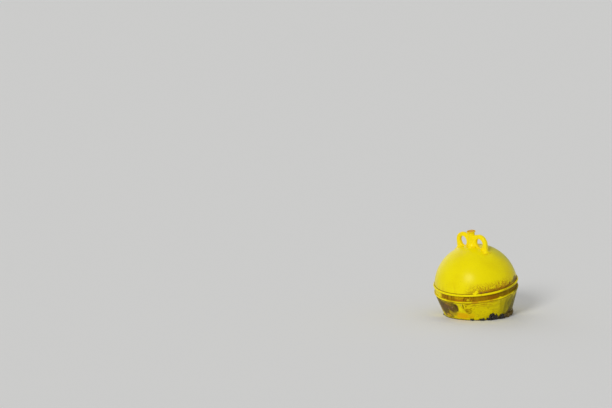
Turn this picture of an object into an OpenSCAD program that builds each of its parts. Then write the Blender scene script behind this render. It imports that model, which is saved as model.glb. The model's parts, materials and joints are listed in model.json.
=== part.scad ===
// Marker buoy with a domed top and a tapering lower hull, a lifting head with two eyes, and its mooring gear.
// Millimetres, +Z up. The origin is on the buoy's upright axis, at its waterline.
// The mooring rod runs down the axis from the head to a swivel and a bow shackle under the hull.

/* [Float] */
// Outer radius of the dome's sphere
dome_r = 389; // [340:1:440]
// Depth of the sphere's centre below the middle of the upper rim lip
dome_drop = 33; // [20:1:40]
// Height of the middle of the upper rim lip above the waterline
rim_z = 325; // [280:5:380]
// Depth of the hull's bottom below the waterline
hull_depth = 290; // [220:5:360]
// Radius of the hull's bottom, measured to the corner before it is rounded
base_r = 215; // [200:5:260]
// Radius that rounds the bottom edge
edge_r = 55; // [30:1:60]
// Thickness of the moulded walls
wall = 8; // [6:0.5:10]

/* [Rim belt] */
// Height of the upper rim lip
upper_lip_h = 22; // [20:1:30]
// Thickness of the upper lip outside the dome
lip_wall = 10; // [6:0.5:14]
// Gap between the dome's foot and the lip that it stands in
lip_gap = 1; // [0.5:0.1:3]
// Distance from the middle of the upper lip down to the middle of the lower one
belt_h = 68; // [50:1:90]
// Height of the lower rim lip
lower_lip_h = 18; // [12:1:24]
// How far the lower lip stays inside the upper one
lower_lip_step = 3; // [1:0.5:6]
// Depth of the groove between the lips, from the upper lip
groove_depth = 21; // [16:0.5:26]
// How far the top of the tapering hull stays inside the upper lip
shoulder_step = 9; // [8:0.5:12]
// Depth of the dome's spigot inside the hull
spigot_h = 30; // [15:1:45]
// Side clearance of the spigot
spigot_gap = 0.5; // [0.2:0.1:2]

/* [Lifting head] */
// Radius of the eye's hole
eye_r = 44; // [38:1:48]
// Width of the band round the hole
eye_band = 41; // [36:1:44]
// Thickness of the eye, across its band
eye_t = 38; // [32:1:44]
// Radius that rounds the band's edges
eye_round = 12; // [6:1:13]
// Distance of the hole's middle from the buoy's axis
eye_x = 99; // [94:1:106]
// Height of the hole's lowest point above the dome there
eye_lift = 6; // [3:0.5:12]
// Fall of the web from the top of the eye to the post, in degrees
web_slope = 12; // [6:1:18]
// Radius of the hollow curve at the foot of each eye
foot_flare = 32; // [24:1:36]
// How far the foot stands out past the eye's outer side
foot_out = 3; // [1:0.5:5]
// Thickness of the foot's edge on the dome
foot_edge = 3; // [2:0.5:6]
// Radius of the post's neck
neck_r = 33; // [28:1:36]
// Radius of the hollow curve at the foot of the post
neck_flare = 30; // [20:1:36]
// Radius of the collar at the top of the post
collar_r = 41; // [38:1:46]
// Height of the collar's straight edge
collar_h = 9; // [6:1:14]
// Height of the post above the top of the dome
post_h = 145; // [130:1:160]

/* [Mooring rod] */
// Radius of the rod through the buoy
rod_r = 15; // [12:0.5:17]
// Radius of the rod's round head
head_r = 27; // [22:1:30]
// Thickness of the rod's round head
head_h = 8; // [5:0.5:12]
// Clearance round the rod's head in the post's top
head_gap = 1.5; // [0.5:0.1:3]
// Clearance round the rod where it passes through the moulded parts
rod_gap = 2; // [1:0.5:3]
// Wall of the moulded sleeve round the rod
sleeve_wall = 8; // [5:0.5:12]
// Radius of the rod's stem, below its nut
stem_r = 13; // [10:0.5:13]
// Radius of the plate under the hull
plate_r = 120; // [90:5:130]
// Thickness of the plate under the hull
plate_t = 10; // [6:1:16]
// Width of the rod's nut across its flats
rod_nut_af = 46; // [41:1:55]
// Height of the rod's nut
rod_nut_h = 24; // [18:1:30]

/* [Swivel] */
// Gap between the rod's nut and the swivel
swivel_gap = 6; // [5:0.5:12]
// Running clearance round the stem and the shackle's pin
pin_fit = 0.1; // [0.05:0.01:0.1]
// Gap between faces that carry the swivel
seat_gap = 0.3; // [0.1:0.1:0.5]
// Radius of the boss that turns on the stem
boss_r = 27; // [24:1:32]
// Height of the boss that turns on the stem
boss_h = 30; // [22:1:40]
// Radius of the round nut that carries the swivel
stem_nut_r = 20; // [17:1:22]
// Height of the round nut that carries the swivel
stem_nut_h = 20; // [14:1:26]
// Length of stem that shows below its nut
stem_end = 4; // [2:0.5:8]
// Clearance inside the swivel's window
window_gap = 7; // [5:0.5:12]
// Width of the swivel's side bars
bar_w = 16; // [14:1:22]
// Thickness of the swivel's frame
bar_t = 22; // [18:1:26]
// Radius of the swivel's eye, outside
swivel_eye_r = 25; // [22:1:28]
// Thickness of the swivel's eye
swivel_eye_t = 28; // [24:1:29]

/* [Shackle] */
// Radius of the shackle's pin
pin_r = 11; // [9:0.5:12]
// Radius of the shackle's bar
bow_bar_r = 9.5; // [8:0.5:11]
// Width between the shackle's ears
jaw_w = 32; // [31:0.5:38]
// Width inside the shackle's bow
bow_w = 51; // [46:1:60]
// Length inside the shackle, from its pin to its bow
bow_l = 72; // [66:1:90]
// Radius of the shackle's ears
ear_r = 23; // [20:0.5:26]
// Radius of the pin's head
pin_head_r = 17; // [15:0.5:20]
// Height of the pin's head
pin_head_h = 9; // [6:1:12]
// Width of the pin's nut across its flats
pin_nut_af = 32; // [28:1:36]
// Height of the pin's nut
pin_nut_h = 13; // [10:1:18]
// Clearance round the pin's head and nut where the ears are faced flat
facing_gap = 1; // [0.5:0.5:3]
// Length of pin that shows beyond its nut
pin_end = 6; // [3:1:10]

/* [Filling plug] */
// Direction of the plug round the hull, from +X towards +Y
plug_angle = -61; // [-180:1:180]
// Height of the plug above the waterline
plug_z = 168; // [100:1:190]
// Radius of the plug's body
plug_r = 18; // [14:1:20]
// Radius of the plug's rim
plug_rim_r = 24; // [22:1:27]
// Height of the plug's rim
plug_rim_h = 5; // [3:0.5:8]
// Radius of the hollow in the plug's face
plug_well_r = 12; // [8:0.5:14]
// Depth of the hollow in the plug's face
plug_well = 4; // [2:0.5:6]
// Radius of the flat boss that the plug seats on
plug_boss_r = 31; // [28:1:36]
// Height of that boss above the hull
plug_boss_h = 3; // [2:0.5:6]
// Clearance round the plug's body
plug_gap = 0.2; // [0.1:0.1:0.5]

/* [Mussel growth] */
// Radius of the largest lumps of mussels, where they meet the hull
lump_r = 28; // [20:1:34]
// Height of the largest lumps above the hull's side
lump_h = 17; // [8:1:22]
// Distance between the largest lumps of a clump
lump_pitch = 32; // [26:1:36]
// Height of the highest clump above the waterline
growth_z = 75; // [60:1:90]

/* [Hidden] */
$fn = 120;

// Overrun of a cutting solid past the face that it cuts
over = 5;
// How far a leg or web stays inside the ring that it joins
leg_inset = 0.5;
// Length of the shackle's leg that lies inside its bow
leg_lap = 2.5;
// Place of the bend in the post's foot, as a share of its width and height
foot_bend = 0.35;
yellow = [0.93, 0.86, 0.02];
head_yellow = [0.98, 0.88, 0.02];
worn_yellow = [0.80, 0.68, 0.05];
rust = [0.62, 0.34, 0.12];
steel = [0.55, 0.55, 0.53];
shell_black = [0.12, 0.11, 0.11];

// Clumps of mussels round the waterline, highest where the photographed side lies deepest.
// Columns: angle from +X towards +Y, height as a share of growth_z, lumps side by side, share of the full size
CLUMPS = [
    [-24, 0.77, 4, 0.68],
    [-20, 1.00, 2, 0.43],
    [-3, 0.57, 2, 0.89],
    [-42, 0.85, 1, 0.43],
    [-58, 0.89, 1, 0.32],
    [-71, 0.19, 2, 0.82],
    [-90, 0.08, 2, 0.89],
    [14, 0.33, 2, 0.93],
    [31, 0.16, 2, 0.96],
    [49, 0.03, 2, 0.89],
    [67, -0.11, 2, 1.00],
    [88, -0.19, 2, 0.93],
    [110, -0.27, 2, 1.00],
    [133, -0.29, 2, 0.96],
    [156, -0.19, 2, 1.00],
    [180, -0.08, 2, 0.93],
    [203, 0.08, 2, 0.93],
    [227, 0.24, 2, 0.89],
    [249, 0.29, 2, 0.71]
];

// Levels of the rim, all from the waterline
lip_top_z = rim_z + upper_lip_h / 2;
lip_floor_z = rim_z - upper_lip_h / 2;
dome_seat_z = lip_floor_z + wall;
lower_lip_z = rim_z - belt_h;
shoulder_z = lower_lip_z - lower_lip_h / 2;
base_z = -hull_depth;
dome_z = rim_z - dome_drop;
dome_top_z = dome_z + dome_r;
dome_mid_r = dome_r - wall / 2;

// Radii of the rim
dome_foot_r = sphere_r(dome_r, dome_seat_z - dome_z);
rebate_r = dome_foot_r + lip_gap;
upper_lip_r = rebate_r + lip_wall;
lower_lip_r = upper_lip_r - lower_lip_step;
groove_r = upper_lip_r - groove_depth;
shoulder_r = upper_lip_r - shoulder_step;
spigot_r = groove_r - wall - spigot_gap;

// The tapering hull and its rounded bottom edge
taper = atan((shoulder_r - base_r) / (shoulder_z - base_z));
edge_x = base_r - edge_r * tan((90 - taper) / 2);
edge_z = base_z + edge_r;

// Depth from the hull's surface to which the plug and its boss reach in
plug_depth = 2 * wall;

// The sleeve and the socket under the dome's top that takes it
sleeve_r = rod_r + rod_gap;
sleeve_outer_r = sleeve_r + sleeve_wall;
socket_r = sleeve_outer_r + spigot_gap;
socket_outer_r = socket_r + wall;
socket_floor_z = dome_z + sphere_r(dome_r - wall, socket_outer_r);
socket_z = socket_floor_z - spigot_h;

// The lifting eyes and the post
eye_outer_r = eye_r + eye_band;
eye_mid_r = eye_r + eye_band / 2;
eye_z = dome_z + sphere_r(dome_r, eye_x) + eye_lift + eye_r;
leg_x = eye_x + eye_mid_r;
foot_core_r = eye_t / 2 - foot_edge;
foot_reach = foot_core_r + foot_flare;
foot_z = dome_z + sphere_r(dome_r, eye_x + eye_outer_r) + foot_edge;
foot_rim_r = eye_x + eye_outer_r + foot_out;
post_top_z = dome_top_z + post_h;
collar_flare = collar_r - neck_r;
neck_foot_z = dome_z + sphere_r(dome_r, neck_r + neck_flare) + foot_edge;

// The mooring gear, from the hull's bottom down
plate_z = base_z - plate_t;
rod_nut_z = plate_z - rod_nut_h;
boss_top_z = rod_nut_z - swivel_gap;
boss_z = boss_top_z - boss_h;
stem_nut_top_z = boss_z - seat_gap;
stem_nut_z = stem_nut_top_z - stem_nut_h;
stem_end_z = stem_nut_z - stem_end;
window_z = stem_end_z - window_gap;
pin_z = window_z - swivel_eye_r;
window_r = stem_nut_r + window_gap;
frame_r = window_r + bar_w;

// The shackle's bow, in the plane of its pin
bow_r = bow_w / 2 + bow_bar_r;
ear_y = jaw_w / 2 + bow_bar_r;
ear_t = 2 * bow_bar_r;
ear_end_y = jaw_w / 2 + ear_t;
bow_drop = pin_r + bow_l - bow_w / 2;
leg_reach = norm([ear_y, bow_drop]);
leg_len = sqrt(leg_reach * leg_reach - bow_r * bow_r);
leg_turn = atan2(bow_drop, ear_y) - acos(bow_r / leg_reach);
pin_nut_r = pin_nut_af / 2 / cos(30);

// Radius of a sphere of radius r, at height h from its middle
function sphere_r(r, h) = sqrt(r * r - h * h);

// Radius of the tapering hull at height z
function hull_r(z) = base_r + (z - base_z) * tan(taper);

// Places its children on the hull's side, with +Z along the outward normal
module on_hull(z, angle) {
    rotate([0, 0, angle]) {
        translate([hull_r(z), 0, z]) rotate([0, 90 + taper, 0]) children();
    }
}

// A square in the half plane of a revolved part, from radius a to b and from height c to d
module band(a, b, c, d) {
    translate([a, c]) square([b - a, d - c]);
}

// Half outline of the tapering hull, drawn inside its surface by inset
module hull_half(inset) {
    r = edge_r - inset;
    polygon([
        [0, edge_z - r],
        [edge_x, edge_z - r],
        [edge_x + r * cos(taper), edge_z - r * sin(taper)],
        [shoulder_r - inset / cos(taper), shoulder_z],
        [0, shoulder_z]
    ]);
    translate([edge_x, edge_z]) circle(r);
}

// Half outline of a rim lip with a round edge
module lip_half(r, z, h) {
    band(groove_r - wall, r - h / 2, z - h / 2, z + h / 2);
    translate([r - h / 2, z]) circle(h / 2);
}

module dome_half() {
    difference() {
        union() {
            difference() {
                translate([0, dome_z]) circle(dome_r);
                translate([0, dome_z]) circle(dome_r - wall);
            }
            intersection() {
                translate([0, dome_z]) circle(dome_mid_r);
                band(spigot_r - wall, dome_foot_r, dome_seat_z, dome_seat_z + wall);
            }
            intersection() {
                translate([0, dome_z]) circle(dome_mid_r);
                band(0, socket_outer_r, socket_z, dome_top_z);
            }
        }
        band(-dome_r - over, dome_r + over, dome_z - dome_r - over, dome_seat_z);
        band(-dome_r - over, 0, dome_seat_z - over, dome_top_z + over);
        band(0, sleeve_r, socket_z - over, dome_top_z + over);
        band(0, socket_r, socket_z - over, socket_floor_z);
    }
    band(spigot_r - wall, spigot_r, dome_seat_z - spigot_h, dome_seat_z);
}

module dome_shell() {
    color(yellow) rotate_extrude() dome_half();
}

module hull_shell() {
    color(worn_yellow) difference() {
        union() {
            rotate_extrude() {
                difference() {
                    union() {
                        hull_half(0);
                        band(0, groove_r, shoulder_z, dome_seat_z);
                        lip_half(upper_lip_r, rim_z, upper_lip_h);
                        lip_half(lower_lip_r, lower_lip_z, lower_lip_h);
                    }
                    hull_half(wall);
                    band(0, groove_r - wall, shoulder_z - over, lip_top_z + over);
                    band(0, rebate_r, dome_seat_z, lip_top_z + over);
                }
                band(sleeve_r, sleeve_outer_r, base_z, socket_floor_z);
            }
            on_hull(plug_z, plug_angle) {
                translate([0, 0, -plug_depth]) cylinder(h = plug_depth + plug_boss_h, r = plug_boss_r);
            }
        }
        translate([0, 0, base_z - over]) cylinder(h = wall + 2 * over, r = sleeve_r);
        on_hull(plug_z, plug_angle) {
            translate([0, 0, -plug_depth - over]) {
                cylinder(h = plug_depth + plug_boss_h + 2 * over, r = plug_r + plug_gap);
            }
        }
    }
}

module filling_plug() {
    color(worn_yellow) on_hull(plug_z, plug_angle) difference() {
        translate([0, 0, plug_boss_h]) union() {
            cylinder(h = plug_rim_h, r = plug_rim_r);
            translate([0, 0, -plug_depth]) cylinder(h = plug_depth, r = plug_r);
        }
        translate([0, 0, plug_boss_h + plug_rim_h - plug_well]) cylinder(h = plug_well + over, r = plug_well_r);
    }
}

// A lump of mussels on the hull's side: the cap of a sphere, as a share of the full size
module mussel_lump(angle, z, share) {
    r = lump_r * share;
    h = lump_h * share;
    ball_r = (r * r + h * h) / (2 * h);
    on_hull(z, angle) translate([0, 0, h - ball_r]) sphere(ball_r);
}

module mussel_growth() {
    color(shell_black) difference() {
        for (clump = CLUMPS) {
            z = clump[1] * growth_z;
            lumps = clump[2];
            share = clump[3];
            turn = lump_pitch * share / hull_r(z) * 180 / PI;
            for (i = [0 : lumps - 1]) mussel_lump(clump[0] + (i - (lumps - 1) / 2) * turn, z, share);
        }
        rotate_extrude() hull_half(0);
    }
}

// Half outline of the post's neck and its spreading foot, solid to the axis
module neck_half() {
    polygon([
        [0, dome_z],
        [neck_r + neck_flare, dome_z],
        [neck_r + neck_flare, neck_foot_z],
        [neck_r + neck_flare * foot_bend, neck_foot_z + neck_flare * foot_bend],
        [neck_r, neck_foot_z + neck_flare],
        [neck_r, post_top_z - collar_h],
        [0, post_top_z - collar_h]
    ]);
}

// Half outline of the collar, hollowed under its edge
module collar_half() {
    difference() {
        band(0, collar_r, post_top_z - collar_h - collar_flare, post_top_z);
        translate([collar_r, post_top_z - collar_h - collar_flare]) circle(collar_flare);
    }
}

module top_post() {
    color(head_yellow) difference() {
        rotate_extrude() {
            neck_half();
            collar_half();
        }
        translate([0, 0, dome_z]) sphere(dome_r);
        translate([0, 0, dome_z]) cylinder(h = post_top_z, r = sleeve_r);
        translate([0, 0, post_top_z - head_h]) cylinder(h = head_h + over, r = head_r + head_gap);
    }
}

// Section of the eye's band, with rounded edges, from radius a to b
module band_section(a, b, t, r) {
    translate([a, -t / 2 + r]) square([b - a, t - 2 * r]);
    translate([a + r, -t / 2]) square([b - a - 2 * r, t]);
    for (x = [a + r, b - r], y = [-t / 2 + r, t / 2 - r]) translate([x, y]) circle(r);
}

// The eye's ring, with its hole along Y
module eye_ring() {
    translate([eye_x, 0, eye_z]) rotate([90, 0, 0]) {
        rotate_extrude() band_section(eye_r, eye_outer_r, eye_t, eye_round);
    }
}

// The eye's section, slightly slimmer than its ring, for what joins the ring along a tangent
module tangent_section() {
    band_section(eye_r + leg_inset, eye_outer_r - leg_inset, eye_t - 2 * leg_inset, eye_round);
}

// The eye's upright outer leg, which runs down into the dome
module eye_leg() {
    translate([eye_x, 0, dome_z]) linear_extrude(eye_z - dome_z) tangent_section();
}

// The web that falls from the top of the ring to the post
module eye_web() {
    translate([eye_x, 0, eye_z]) rotate([0, -90 - web_slope, 0]) linear_extrude(eye_x) tangent_section();
}

// The leg's foot, spreading sideways on the dome and ending on a circle about the buoy's axis
module eye_foot() {
    intersection() {
        translate([leg_x, 0, foot_z]) rotate_extrude() difference() {
            band(0, foot_reach, -foot_flare, foot_flare);
            translate([foot_reach, foot_flare]) circle(foot_flare);
        }
        translate([0, 0, dome_z]) cylinder(h = eye_z - dome_z, r = foot_rim_r);
    }
}

module lifting_eye() {
    color(head_yellow) difference() {
        union() {
            eye_ring();
            eye_foot();
            difference() {
                union() {
                    eye_leg();
                    eye_web();
                }
                translate([eye_x, eye_t, eye_z]) rotate([90, 0, 0]) cylinder(h = 2 * eye_t, r = eye_mid_r);
            }
        }
        translate([0, 0, dome_z]) sphere(dome_r);
        rotate_extrude() neck_half();
    }
}

module lifting_eye_right() {
    lifting_eye();
}

module lifting_eye_left() {
    rotate([0, 0, 180]) lifting_eye();
}

// The rod in one outline: the stem, the shank and the round head
module mooring_rod() {
    color(rust) rotate_extrude() polygon([
        [0, stem_end_z],
        [stem_r, stem_end_z],
        [stem_r, rod_nut_z],
        [rod_r, rod_nut_z],
        [rod_r, post_top_z - head_h],
        [head_r, post_top_z - head_h],
        [head_r, post_top_z],
        [0, post_top_z]
    ]);
}

// A washer or plate round the rod, from height z up
module round_plate(r, hole_r, z, h) {
    translate([0, 0, z]) difference() {
        cylinder(h = h, r = r);
        translate([0, 0, -over]) cylinder(h = h + 2 * over, r = hole_r);
    }
}

module bottom_plate() {
    color(steel) round_plate(plate_r, rod_r + pin_fit, plate_z, plate_t);
}

// A six-sided nut of width af round a bore, from height 0 up
module hex_nut(af, hole_r, h) {
    difference() {
        cylinder(h = h, r = af / 2 / cos(30), $fn = 6);
        translate([0, 0, -over]) cylinder(h = h + 2 * over, r = hole_r);
    }
}

module rod_nut() {
    color(rust) translate([0, 0, rod_nut_z]) hex_nut(rod_nut_af, rod_r, rod_nut_h);
}

module stem_nut() {
    color(rust) round_plate(stem_nut_r, stem_r, stem_nut_z, stem_nut_h);
}

// Outline of the swivel's frame, with Y as height
module swivel_outline() {
    side_x = frame_r - bar_w / 2;
    hull() {
        for (x = [-side_x, side_x], z = [boss_top_z - bar_w / 2, stem_nut_z]) {
            translate([x, z]) circle(bar_w / 2, $fn = 32);
        }
        translate([0, pin_z]) circle(swivel_eye_r, $fn = 32);
    }
}

module swivel() {
    color(rust) difference() {
        union() {
            rotate([90, 0, 0]) translate([0, 0, -bar_t / 2]) linear_extrude(bar_t) difference() {
                swivel_outline();
                translate([-window_r, window_z]) square([2 * window_r, boss_z - window_z]);
            }
            translate([0, 0, boss_z]) cylinder(h = boss_h, r = boss_r);
            translate([0, swivel_eye_t / 2, pin_z]) rotate([90, 0, 0]) cylinder(h = swivel_eye_t, r = swivel_eye_r);
        }
        translate([0, 0, boss_z - over]) cylinder(h = boss_h + 2 * over, r = stem_r + pin_fit);
        translate([0, bar_t, pin_z]) rotate([90, 0, 0]) cylinder(h = 2 * bar_t, r = pin_r + pin_fit);
    }
}

// One ear and one leg of the shackle, on the side of +Y. The leg's end lies inside the bow.
module shackle_side() {
    translate([0, ear_end_y, 0]) rotate([90, 0, 0]) cylinder(h = ear_t, r = ear_r);
    translate([0, ear_y, 0]) rotate([180 + leg_turn, 0, 0]) {
        cylinder(h = leg_len + leg_lap, r = bow_bar_r - leg_inset);
    }
}

module shackle_bow() {
    color(rust) translate([0, 0, pin_z]) difference() {
        union() {
            shackle_side();
            mirror([0, 1, 0]) shackle_side();
            translate([0, 0, -bow_drop]) rotate([0, 90, 0]) {
                rotate([0, 0, -90 - leg_turn]) rotate_extrude(angle = 180 + 2 * leg_turn) {
                    translate([bow_r, 0]) circle(bow_bar_r);
                }
            }
        }
        translate([0, ear_end_y + over, 0]) rotate([90, 0, 0]) {
            cylinder(h = 2 * (ear_end_y + over), r = pin_r + pin_fit);
        }
        translate([0, ear_end_y + over, 0]) rotate([90, 0, 0]) cylinder(h = over, r = pin_nut_r + facing_gap);
        translate([0, -ear_end_y, 0]) rotate([90, 0, 0]) cylinder(h = over, r = pin_head_r + facing_gap);
    }
}

module shackle_pin() {
    color(steel) translate([0, 0, pin_z]) rotate([90, 0, 0]) {
        translate([0, 0, ear_end_y]) cylinder(h = pin_head_h, r = pin_head_r);
        translate([0, 0, -ear_end_y - pin_nut_h - pin_end]) {
            cylinder(h = 2 * ear_end_y + pin_nut_h + pin_end, r = pin_r);
        }
    }
}

module shackle_nut() {
    color(steel) translate([0, ear_end_y + pin_nut_h, pin_z]) rotate([90, 0, 0]) {
        hex_nut(pin_nut_af, pin_r, pin_nut_h);
    }
}

dome_shell();
hull_shell();
filling_plug();
mussel_growth();
top_post();
lifting_eye_right();
lifting_eye_left();
mooring_rod();
bottom_plate();
rod_nut();
stem_nut();
swivel();
shackle_bow();
shackle_pin();
shackle_nut();
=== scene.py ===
"""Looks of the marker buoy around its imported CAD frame.

Metres, +Z up, with the origin at the waterline on the buoy's axis.
"""

import json
import math
import random

import bmesh
import bpy
import numpy as np
from mathutils import Matrix, Vector, noise


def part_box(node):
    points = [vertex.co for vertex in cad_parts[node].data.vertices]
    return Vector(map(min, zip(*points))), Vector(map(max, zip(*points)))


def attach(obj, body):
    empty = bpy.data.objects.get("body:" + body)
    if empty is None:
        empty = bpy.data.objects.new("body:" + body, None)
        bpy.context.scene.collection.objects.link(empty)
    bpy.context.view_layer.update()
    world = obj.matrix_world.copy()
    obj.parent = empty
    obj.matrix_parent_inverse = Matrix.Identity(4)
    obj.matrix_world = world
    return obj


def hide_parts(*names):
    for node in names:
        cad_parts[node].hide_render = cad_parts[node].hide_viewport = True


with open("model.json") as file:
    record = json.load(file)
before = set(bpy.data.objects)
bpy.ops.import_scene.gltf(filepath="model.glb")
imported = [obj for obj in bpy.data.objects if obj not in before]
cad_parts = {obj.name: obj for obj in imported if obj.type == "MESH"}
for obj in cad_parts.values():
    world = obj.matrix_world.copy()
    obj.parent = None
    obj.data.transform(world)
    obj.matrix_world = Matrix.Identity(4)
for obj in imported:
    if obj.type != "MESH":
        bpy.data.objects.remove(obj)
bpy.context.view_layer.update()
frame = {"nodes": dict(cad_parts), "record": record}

# The view: the camera's place round the buoy, how far the buoy leans to the left in the picture,
# and the pixel of the 612 by 408 picture where the middle of the rim lies
VIEW_AZIMUTH = math.radians(43)
VIEW_ELEVATION = math.radians(19.4)
VIEW_LEAN = math.radians(5)
VIEW_DISTANCE = 17.0
METRES_A_PIXEL = 0.00946
RIM_PIXEL = (475.6, 281.5)
PICTURE = (612, 408)
SENSOR = 36.0

# The water's plane, as its rise along +X and +Y: the buoy heels towards the camera and to its left
WATER_SLOPE = (0.0564, -0.1758)
FLOOR_HALF = 400

# The float's sizes, as the CAD has them
DOME_R = 0.389
DOME_Z = 0.292
WALL = 0.008
SEAT_Z = 0.322
UPPER_LIP_Z = 0.325
UPPER_LIP_HALF = 0.011
LOWER_LIP_Z = 0.257
LOWER_LIP_HALF = 0.009
LOWER_LIP_STEP = 0.003
GROOVE_DEPTH = 0.021
SHOULDER_STEP = 0.009
BASE_R = 0.215
EDGE_R = 0.055
ROD_HOLE_R = 0.017
SLEEVE_R = 0.025
SOCKET_GAP = 0.0005
SPIGOT_H = 0.030
REBATE_GAP = 0.001
EYE_R = 0.044
EYE_X = 0.099

# Sizes that follow from these and from the frame
UPPER_LIP_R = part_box("hull_shell")[1].x
BASE_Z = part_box("bottom_plate")[1].z
LOWER_LIP_R = UPPER_LIP_R - LOWER_LIP_STEP
GROOVE_R = UPPER_LIP_R - GROOVE_DEPTH
SHOULDER_R = UPPER_LIP_R - SHOULDER_STEP
SHOULDER_Z = LOWER_LIP_Z - LOWER_LIP_HALF
TAPER = math.atan((SHOULDER_R - BASE_R) / (SHOULDER_Z - BASE_Z))
EDGE_X = BASE_R - EDGE_R * math.tan((math.pi / 2 - TAPER) / 2)
EDGE_Z = BASE_Z + EDGE_R
SOCKET_FLOOR_Z = DOME_Z + math.sqrt((DOME_R - WALL) ** 2 - (SLEEVE_R + SOCKET_GAP + WALL) ** 2)
POST_TOP_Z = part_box("top_post")[1].z
PIN_Z = (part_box("shackle_pin")[0].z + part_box("shackle_pin")[1].z) / 2


def srgb(red, green, blue):
    """A colour as it reads on a screen, 0 to 255, as a linear colour with alpha."""
    def linear(c):
        c /= 255
        return c / 12.92 if c <= 0.04045 else ((c + 0.055) / 1.055) ** 2.4
    return (linear(red), linear(green), linear(blue), 1.0)


def sphere_at(z):
    """Radius of the dome at height z."""
    return math.sqrt(DOME_R ** 2 - (z - DOME_Z) ** 2)


def hull_radius(z):
    """Radius of the tapering hull at height z."""
    return BASE_R + (z - BASE_Z) * math.tan(TAPER)


def on_hull(degrees, z, out=0.0):
    """A point on the tapering hull at that angle from +X towards +Y, or proud of it by out."""
    a, r = math.radians(degrees), hull_radius(z) + out
    return Vector((r * math.cos(a), r * math.sin(a), z))


def placed(name, data):
    """A new object in the scene."""
    made = bpy.data.objects.new(name, data)
    bpy.context.scene.collection.objects.link(made)
    return made


# Camera, light and floor

def view_axes():
    """The picture's right, its up, and the way from the buoy to the camera."""
    sin_a, cos_a = math.sin(VIEW_AZIMUTH), math.cos(VIEW_AZIMUTH)
    sin_e, cos_e = math.sin(VIEW_ELEVATION), math.cos(VIEW_ELEVATION)
    right = Vector((cos_a, sin_a, 0))
    up = Vector((-sin_a * sin_e, cos_a * sin_e, cos_e))
    sin_l, cos_l = math.sin(VIEW_LEAN), math.cos(VIEW_LEAN)
    back = Vector((sin_a * cos_e, -cos_a * cos_e, sin_e))
    return right * cos_l - up * sin_l, up * cos_l + right * sin_l, back


def make_camera():
    right, up, back = view_axes()
    data = bpy.data.cameras.new("camera")
    data.sensor_width = SENSOR
    data.lens = SENSOR * VIEW_DISTANCE / (METRES_A_PIXEL * PICTURE[0])
    data.clip_end = 2000
    camera = placed("camera", data)
    looking = Matrix((right, up, back)).transposed().to_quaternion()
    aside = Vector((
        (RIM_PIXEL[0] - PICTURE[0] / 2) * METRES_A_PIXEL,
        (PICTURE[1] / 2 - RIM_PIXEL[1]) * METRES_A_PIXEL,
        -VIEW_DISTANCE,
    ))
    camera.rotation_mode = "QUATERNION"
    camera.rotation_quaternion = looking @ aside.rotation_difference(Vector((0, 0, -1)))
    camera.location = Vector((0, 0, UPPER_LIP_Z)) + back * VIEW_DISTANCE
    bpy.context.scene.camera = camera


def sun(name, towards, strength, angle):
    data = bpy.data.lights.new(name, "SUN")
    data.energy = strength
    data.angle = math.radians(angle)
    lamp = placed(name, data)
    lamp.rotation_mode = "QUATERNION"
    lamp.rotation_quaternion = Vector(towards).to_track_quat("Z", "Y")


def one_or_other(tree, chooser, first, second, end):
    """Ends a node tree in the first shader where chooser is 0 and in the second where it is 1."""
    mix = tree.nodes.new("ShaderNodeMixShader")
    for socket, value in zip(mix.inputs, (chooser, first.outputs[0], second.outputs[0])):
        tree.links.new(value, socket)
    tree.links.new(mix.outputs[0], tree.nodes.new(end).inputs[0])


def make_world():
    """A soft even sky, which the camera and clear reflections see as a pale backdrop."""
    world = bpy.data.worlds.new("studio")
    bpy.context.scene.world = world
    world.use_nodes = True
    tree = world.node_tree
    tree.nodes.clear()
    seen = tree.nodes.new("ShaderNodeLightPath")
    soft = tree.nodes.new("ShaderNodeBackground")
    soft.inputs["Strength"].default_value = 0.55
    shown = tree.nodes.new("ShaderNodeBackground")
    shown.inputs["Color"].default_value = BACKDROP
    one_or_other(tree, seen.outputs["Is Camera Ray"], soft, shown, "ShaderNodeOutputWorld")


def make_floor():
    """A pale floor in the water's plane. From below it is clear, so that the underwater pieces show."""
    mesh = bpy.data.meshes.new("floor")
    corners = [(x * FLOOR_HALF, y * FLOOR_HALF, 0) for x, y in ((-1, -1), (1, -1), (1, 1), (-1, 1))]
    mesh.from_pydata(corners, [], [(0, 1, 2, 3)])
    floor = placed("floor", mesh)
    floor.rotation_mode = "QUATERNION"
    floor.rotation_quaternion = Vector((-WATER_SLOPE[0], -WATER_SLOPE[1], 1)).to_track_quat("Z", "Y")
    material = bpy.data.materials.new("pale_floor")
    material.use_nodes = True
    tree = material.node_tree
    tree.nodes.clear()
    side = tree.nodes.new("ShaderNodeNewGeometry")
    pale = tree.nodes.new("ShaderNodeBsdfDiffuse")
    pale.inputs["Color"].default_value = (0.82, 0.82, 0.81, 1)
    clear = tree.nodes.new("ShaderNodeBsdfTransparent")
    one_or_other(tree, side.outputs["Backfacing"], pale, clear, "ShaderNodeOutputMaterial")
    mesh.materials.append(material)


# Building materials from nodes

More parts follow.
